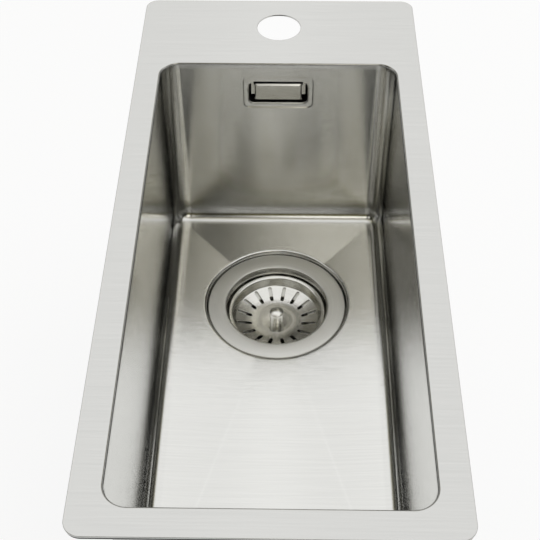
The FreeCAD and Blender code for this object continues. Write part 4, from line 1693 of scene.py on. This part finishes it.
@dataclass
class Overhead:
    """A soft lamp over the rear right that metal doesn't show."""

    place: Point = (0.5, 0.9, 1.5)
    aim: Point = (0.0, 0.1, -0.1)
    size: Flat = (1.6, 1.2)
    watts: float = 14.0

    def build(self) -> None:
        """Hang the lamp so that it looks at the bowl."""
        data = bpy.data.lights.new("overhead_box", "AREA")
        data.energy = self.watts
        data.shape = "RECTANGLE"
        data.size, data.size_y = self.size
        made = bpy.data.objects.new("overhead_box", data)
        bpy.context.scene.collection.objects.link(made)
        made.location = self.place
        way = Vector(self.aim) - Vector(self.place)
        made.rotation_euler = way.to_track_quat("-Z", "Y").to_euler()
        made.visible_glossy = False


@dataclass
class View:
    """The camera at the photograph's viewing angle."""

    lens: float = 73.375
    sensor: float = 36.0
    near: float = 0.01
    location: Point = (7.47 * MM, -540.49 * MM, 519.74 * MM)
    aim: Point = (-2.36 * MM, -57.79 * MM, 3.2 * MM)
    roll_degrees: float = -0.344
    shift: Flat = (-0.0013, 0.0010)

    def build(self) -> None:
        """Set the camera, with plain colours."""
        scene = bpy.context.scene
        scene.view_settings.view_transform = "Standard"
        data = bpy.data.cameras.new("camera")
        data.lens = self.lens
        data.sensor_width = self.sensor
        data.shift_x, data.shift_y = self.shift
        data.clip_start = self.near
        made = bpy.data.objects.new("camera", data)
        scene.collection.objects.link(made)
        ahead = (Vector(self.aim) - Vector(self.location)).normalized()
        flat_right = ahead.cross(Vector((0, 0, 1))).normalized()
        flat_up = flat_right.cross(ahead)
        roll = math.radians(self.roll_degrees)
        right = flat_right * math.cos(roll) + flat_up * math.sin(roll)
        up = flat_up * math.cos(roll) - flat_right * math.sin(roll)
        turn = Matrix((right, up, -ahead)).transposed()
        made.matrix_world = Matrix.Translation(self.location) @ turn.to_4x4()
        scene.camera = made


class Finishes:
    """Every finish of the sink, each built once."""

    def __init__(self, drain_y: float) -> None:
        """Make the materials.

        Args:
            drain_y: the drain's place, on which turned pieces are centred.
        """
        about = (0.0, drain_y)
        self.deck = Steel("brushed_deck_steel", Grain.SHEET, (0.714, 0.714, 0.705), roughness=0.20,
                          smear=0.16).material()
        self.bowl = Steel("brushed_bowl_steel", Grain.BOWL, (0.79, 0.79, 0.776), roughness=0.12,
                          smear=0.52, line_pitch=0.009 * MM, side_share=0.6, end_share=1.9).material()
        self.satin = Steel("satin_flange_steel", Grain.TURNED, (0.80, 0.795, 0.765), roughness=0.38,
                           smear=0.32, wall_gloss=0.20, centre=about).material()
        self.turned = Steel("turned_basket_steel", Grain.TURNED, (0.80, 0.795, 0.765), roughness=0.15,
                            smear=0.50, centre=about).material()
        self.bright = Steel("bright_fitting_steel", Grain.SHEET, (0.755, 0.75, 0.72), roughness=0.16,
                            smear=0.15).material()
        zinc = ZincPlate("bright_zinc", (0.66, 0.69, 0.72), (0.74, 0.71, 0.64), roughness=0.30)
        brass = Steel("turned_brass", Grain.TURNED, (0.78, 0.60, 0.30), roughness=0.28, smear=0.20,
                      centre=about)
        rubber = Moulding("black_rubber_skin", (0.022, 0.022, 0.024), (0.06, 0.06, 0.06), roughness=0.62,
                          texture_scale=2600.0, texture_depth=0.03 * MM)
        foam = CellFoam("grey_foam", (0.11, 0.11, 0.115), (0.05, 0.05, 0.052), pore_pitch=0.7 * MM)
        pad = Moulding("pad_rubber_skin", (0.075, 0.075, 0.08), (0.14, 0.14, 0.14), roughness=0.78,
                       texture_scale=900.0, texture_depth=0.12 * MM)
        plastic = Moulding("moulded_plastic", (0.035, 0.036, 0.038), (0.075, 0.075, 0.075), roughness=0.42,
                           texture_scale=3200.0, texture_depth=0.02 * MM, dust_share=0.25)
        self.by_slot: dict[Slot, bpy.types.Material] = {
            Slot.SINK_STEEL: self.bowl,
            Slot.STRAINER_STEEL: self.turned,
            Slot.ZINC: zinc.material(),
            Slot.BRASS: brass.material(),
            Slot.RUBBER: rubber.material(),
            Slot.FOAM: foam.material(),
            Slot.PAD: pad.material(),
            Slot.PLASTIC: plastic.material(),
        }


def dress_nodes(finishes: Finishes) -> None:
    """Give every node that still shows its finish.

    Args:
        finishes: the sink's finishes.
    """
    straight = ("overflow_cover", "overflow_screw")
    slots = {part["node"]: Slot(part["material_slot"]) for part in frame["record"]["subparts"]}
    for name, node in frame["nodes"].items():
        if node.hide_render:
            continue
        slot = slots[name]
        material = finishes.bright if name in straight else finishes.by_slot[slot]
        node.data.materials.clear()
        node.data.materials.append(material)
        LOG.info("%s: kept as it is, in %s", name, material.name)


def main() -> None:
    """Build each sub-assembly in turn, dress the rest and set the studio."""
    logging.basicConfig(level=logging.INFO, format="%(message)s")
    deck_low, deck_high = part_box("deck_plate")
    bowl_low, bowl_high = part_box("bowl_shell")
    cup_low, cup_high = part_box("strainer_cup")
    cover_low, cover_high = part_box("overflow_cover")
    tap = next(mount for mount in frame["record"]["mounts"] if mount["name"] == "tap_hole")
    sheet = Bowl.sheet
    behind = Bowl.pressing_depth + sheet + Bowl.slot_turn
    opening = Opening(bowl_high.x - sheet, bowl_low.y + sheet, bowl_high.y - behind)
    drain_y = (cup_low.y + cup_high.y) / 2
    finishes = Finishes(drain_y)

    deck = Deck(opening, deck_high.x, deck_high.y, deck_high.z, deck_low.z, tap["pos_m"][1],
                tap["dims"]["r_mm"] * MM)
    install(deck.build(), finishes.deck, Body.SINK, Slot.SINK_STEEL, "deck_plate")
    bowl = Bowl(opening, bowl_high.z, bowl_low.z + sheet, drain_y, (cover_low.z + cover_high.z) / 2)
    install(bowl.build(), finishes.bowl, Body.SINK, Slot.SINK_STEEL, "bowl_shell")

    bridge = Bridge(*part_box("overflow_bridge"), bowl.overflow_z)
    install(bridge.build(), finishes.bright, Body.SINK, Slot.STRAINER_STEEL, "overflow_bridge")

    ring = ring_tool()
    knob_low, knob_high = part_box("basket_knob")
    strainer = Strainer(drain_y, cup_high.z, knob_low.z, knob_high.z, (knob_high.x - knob_low.x) / 2)
    install(strainer.cup().build(ring, finishes.satin), finishes.satin, Body.SINK,
            Slot.STRAINER_STEEL, "strainer_cup")
    install(strainer.basket().build(ring, finishes.turned), finishes.turned, Body.BASKET,
            Slot.STRAINER_STEEL, "strainer_basket")
    install(strainer.knob(), finishes.turned, Body.BASKET, Slot.STRAINER_STEEL, "basket_knob")

    zinc = finishes.by_slot[Slot.ZINC]
    studs = Studs(*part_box("clamp_studs"))
    install(studs.build(thread_tool(), zinc), zinc, Body.SINK, Slot.ZINC, "clamp_studs")

    dress_nodes(finishes)
    for stage in (Ground(CAD_BOX[0].z), Room(), Card(), Overhead(), View()):
        stage.build()
        LOG.info("%s: set", type(stage).__name__.lower())


if __name__ == "__main__":
    main()
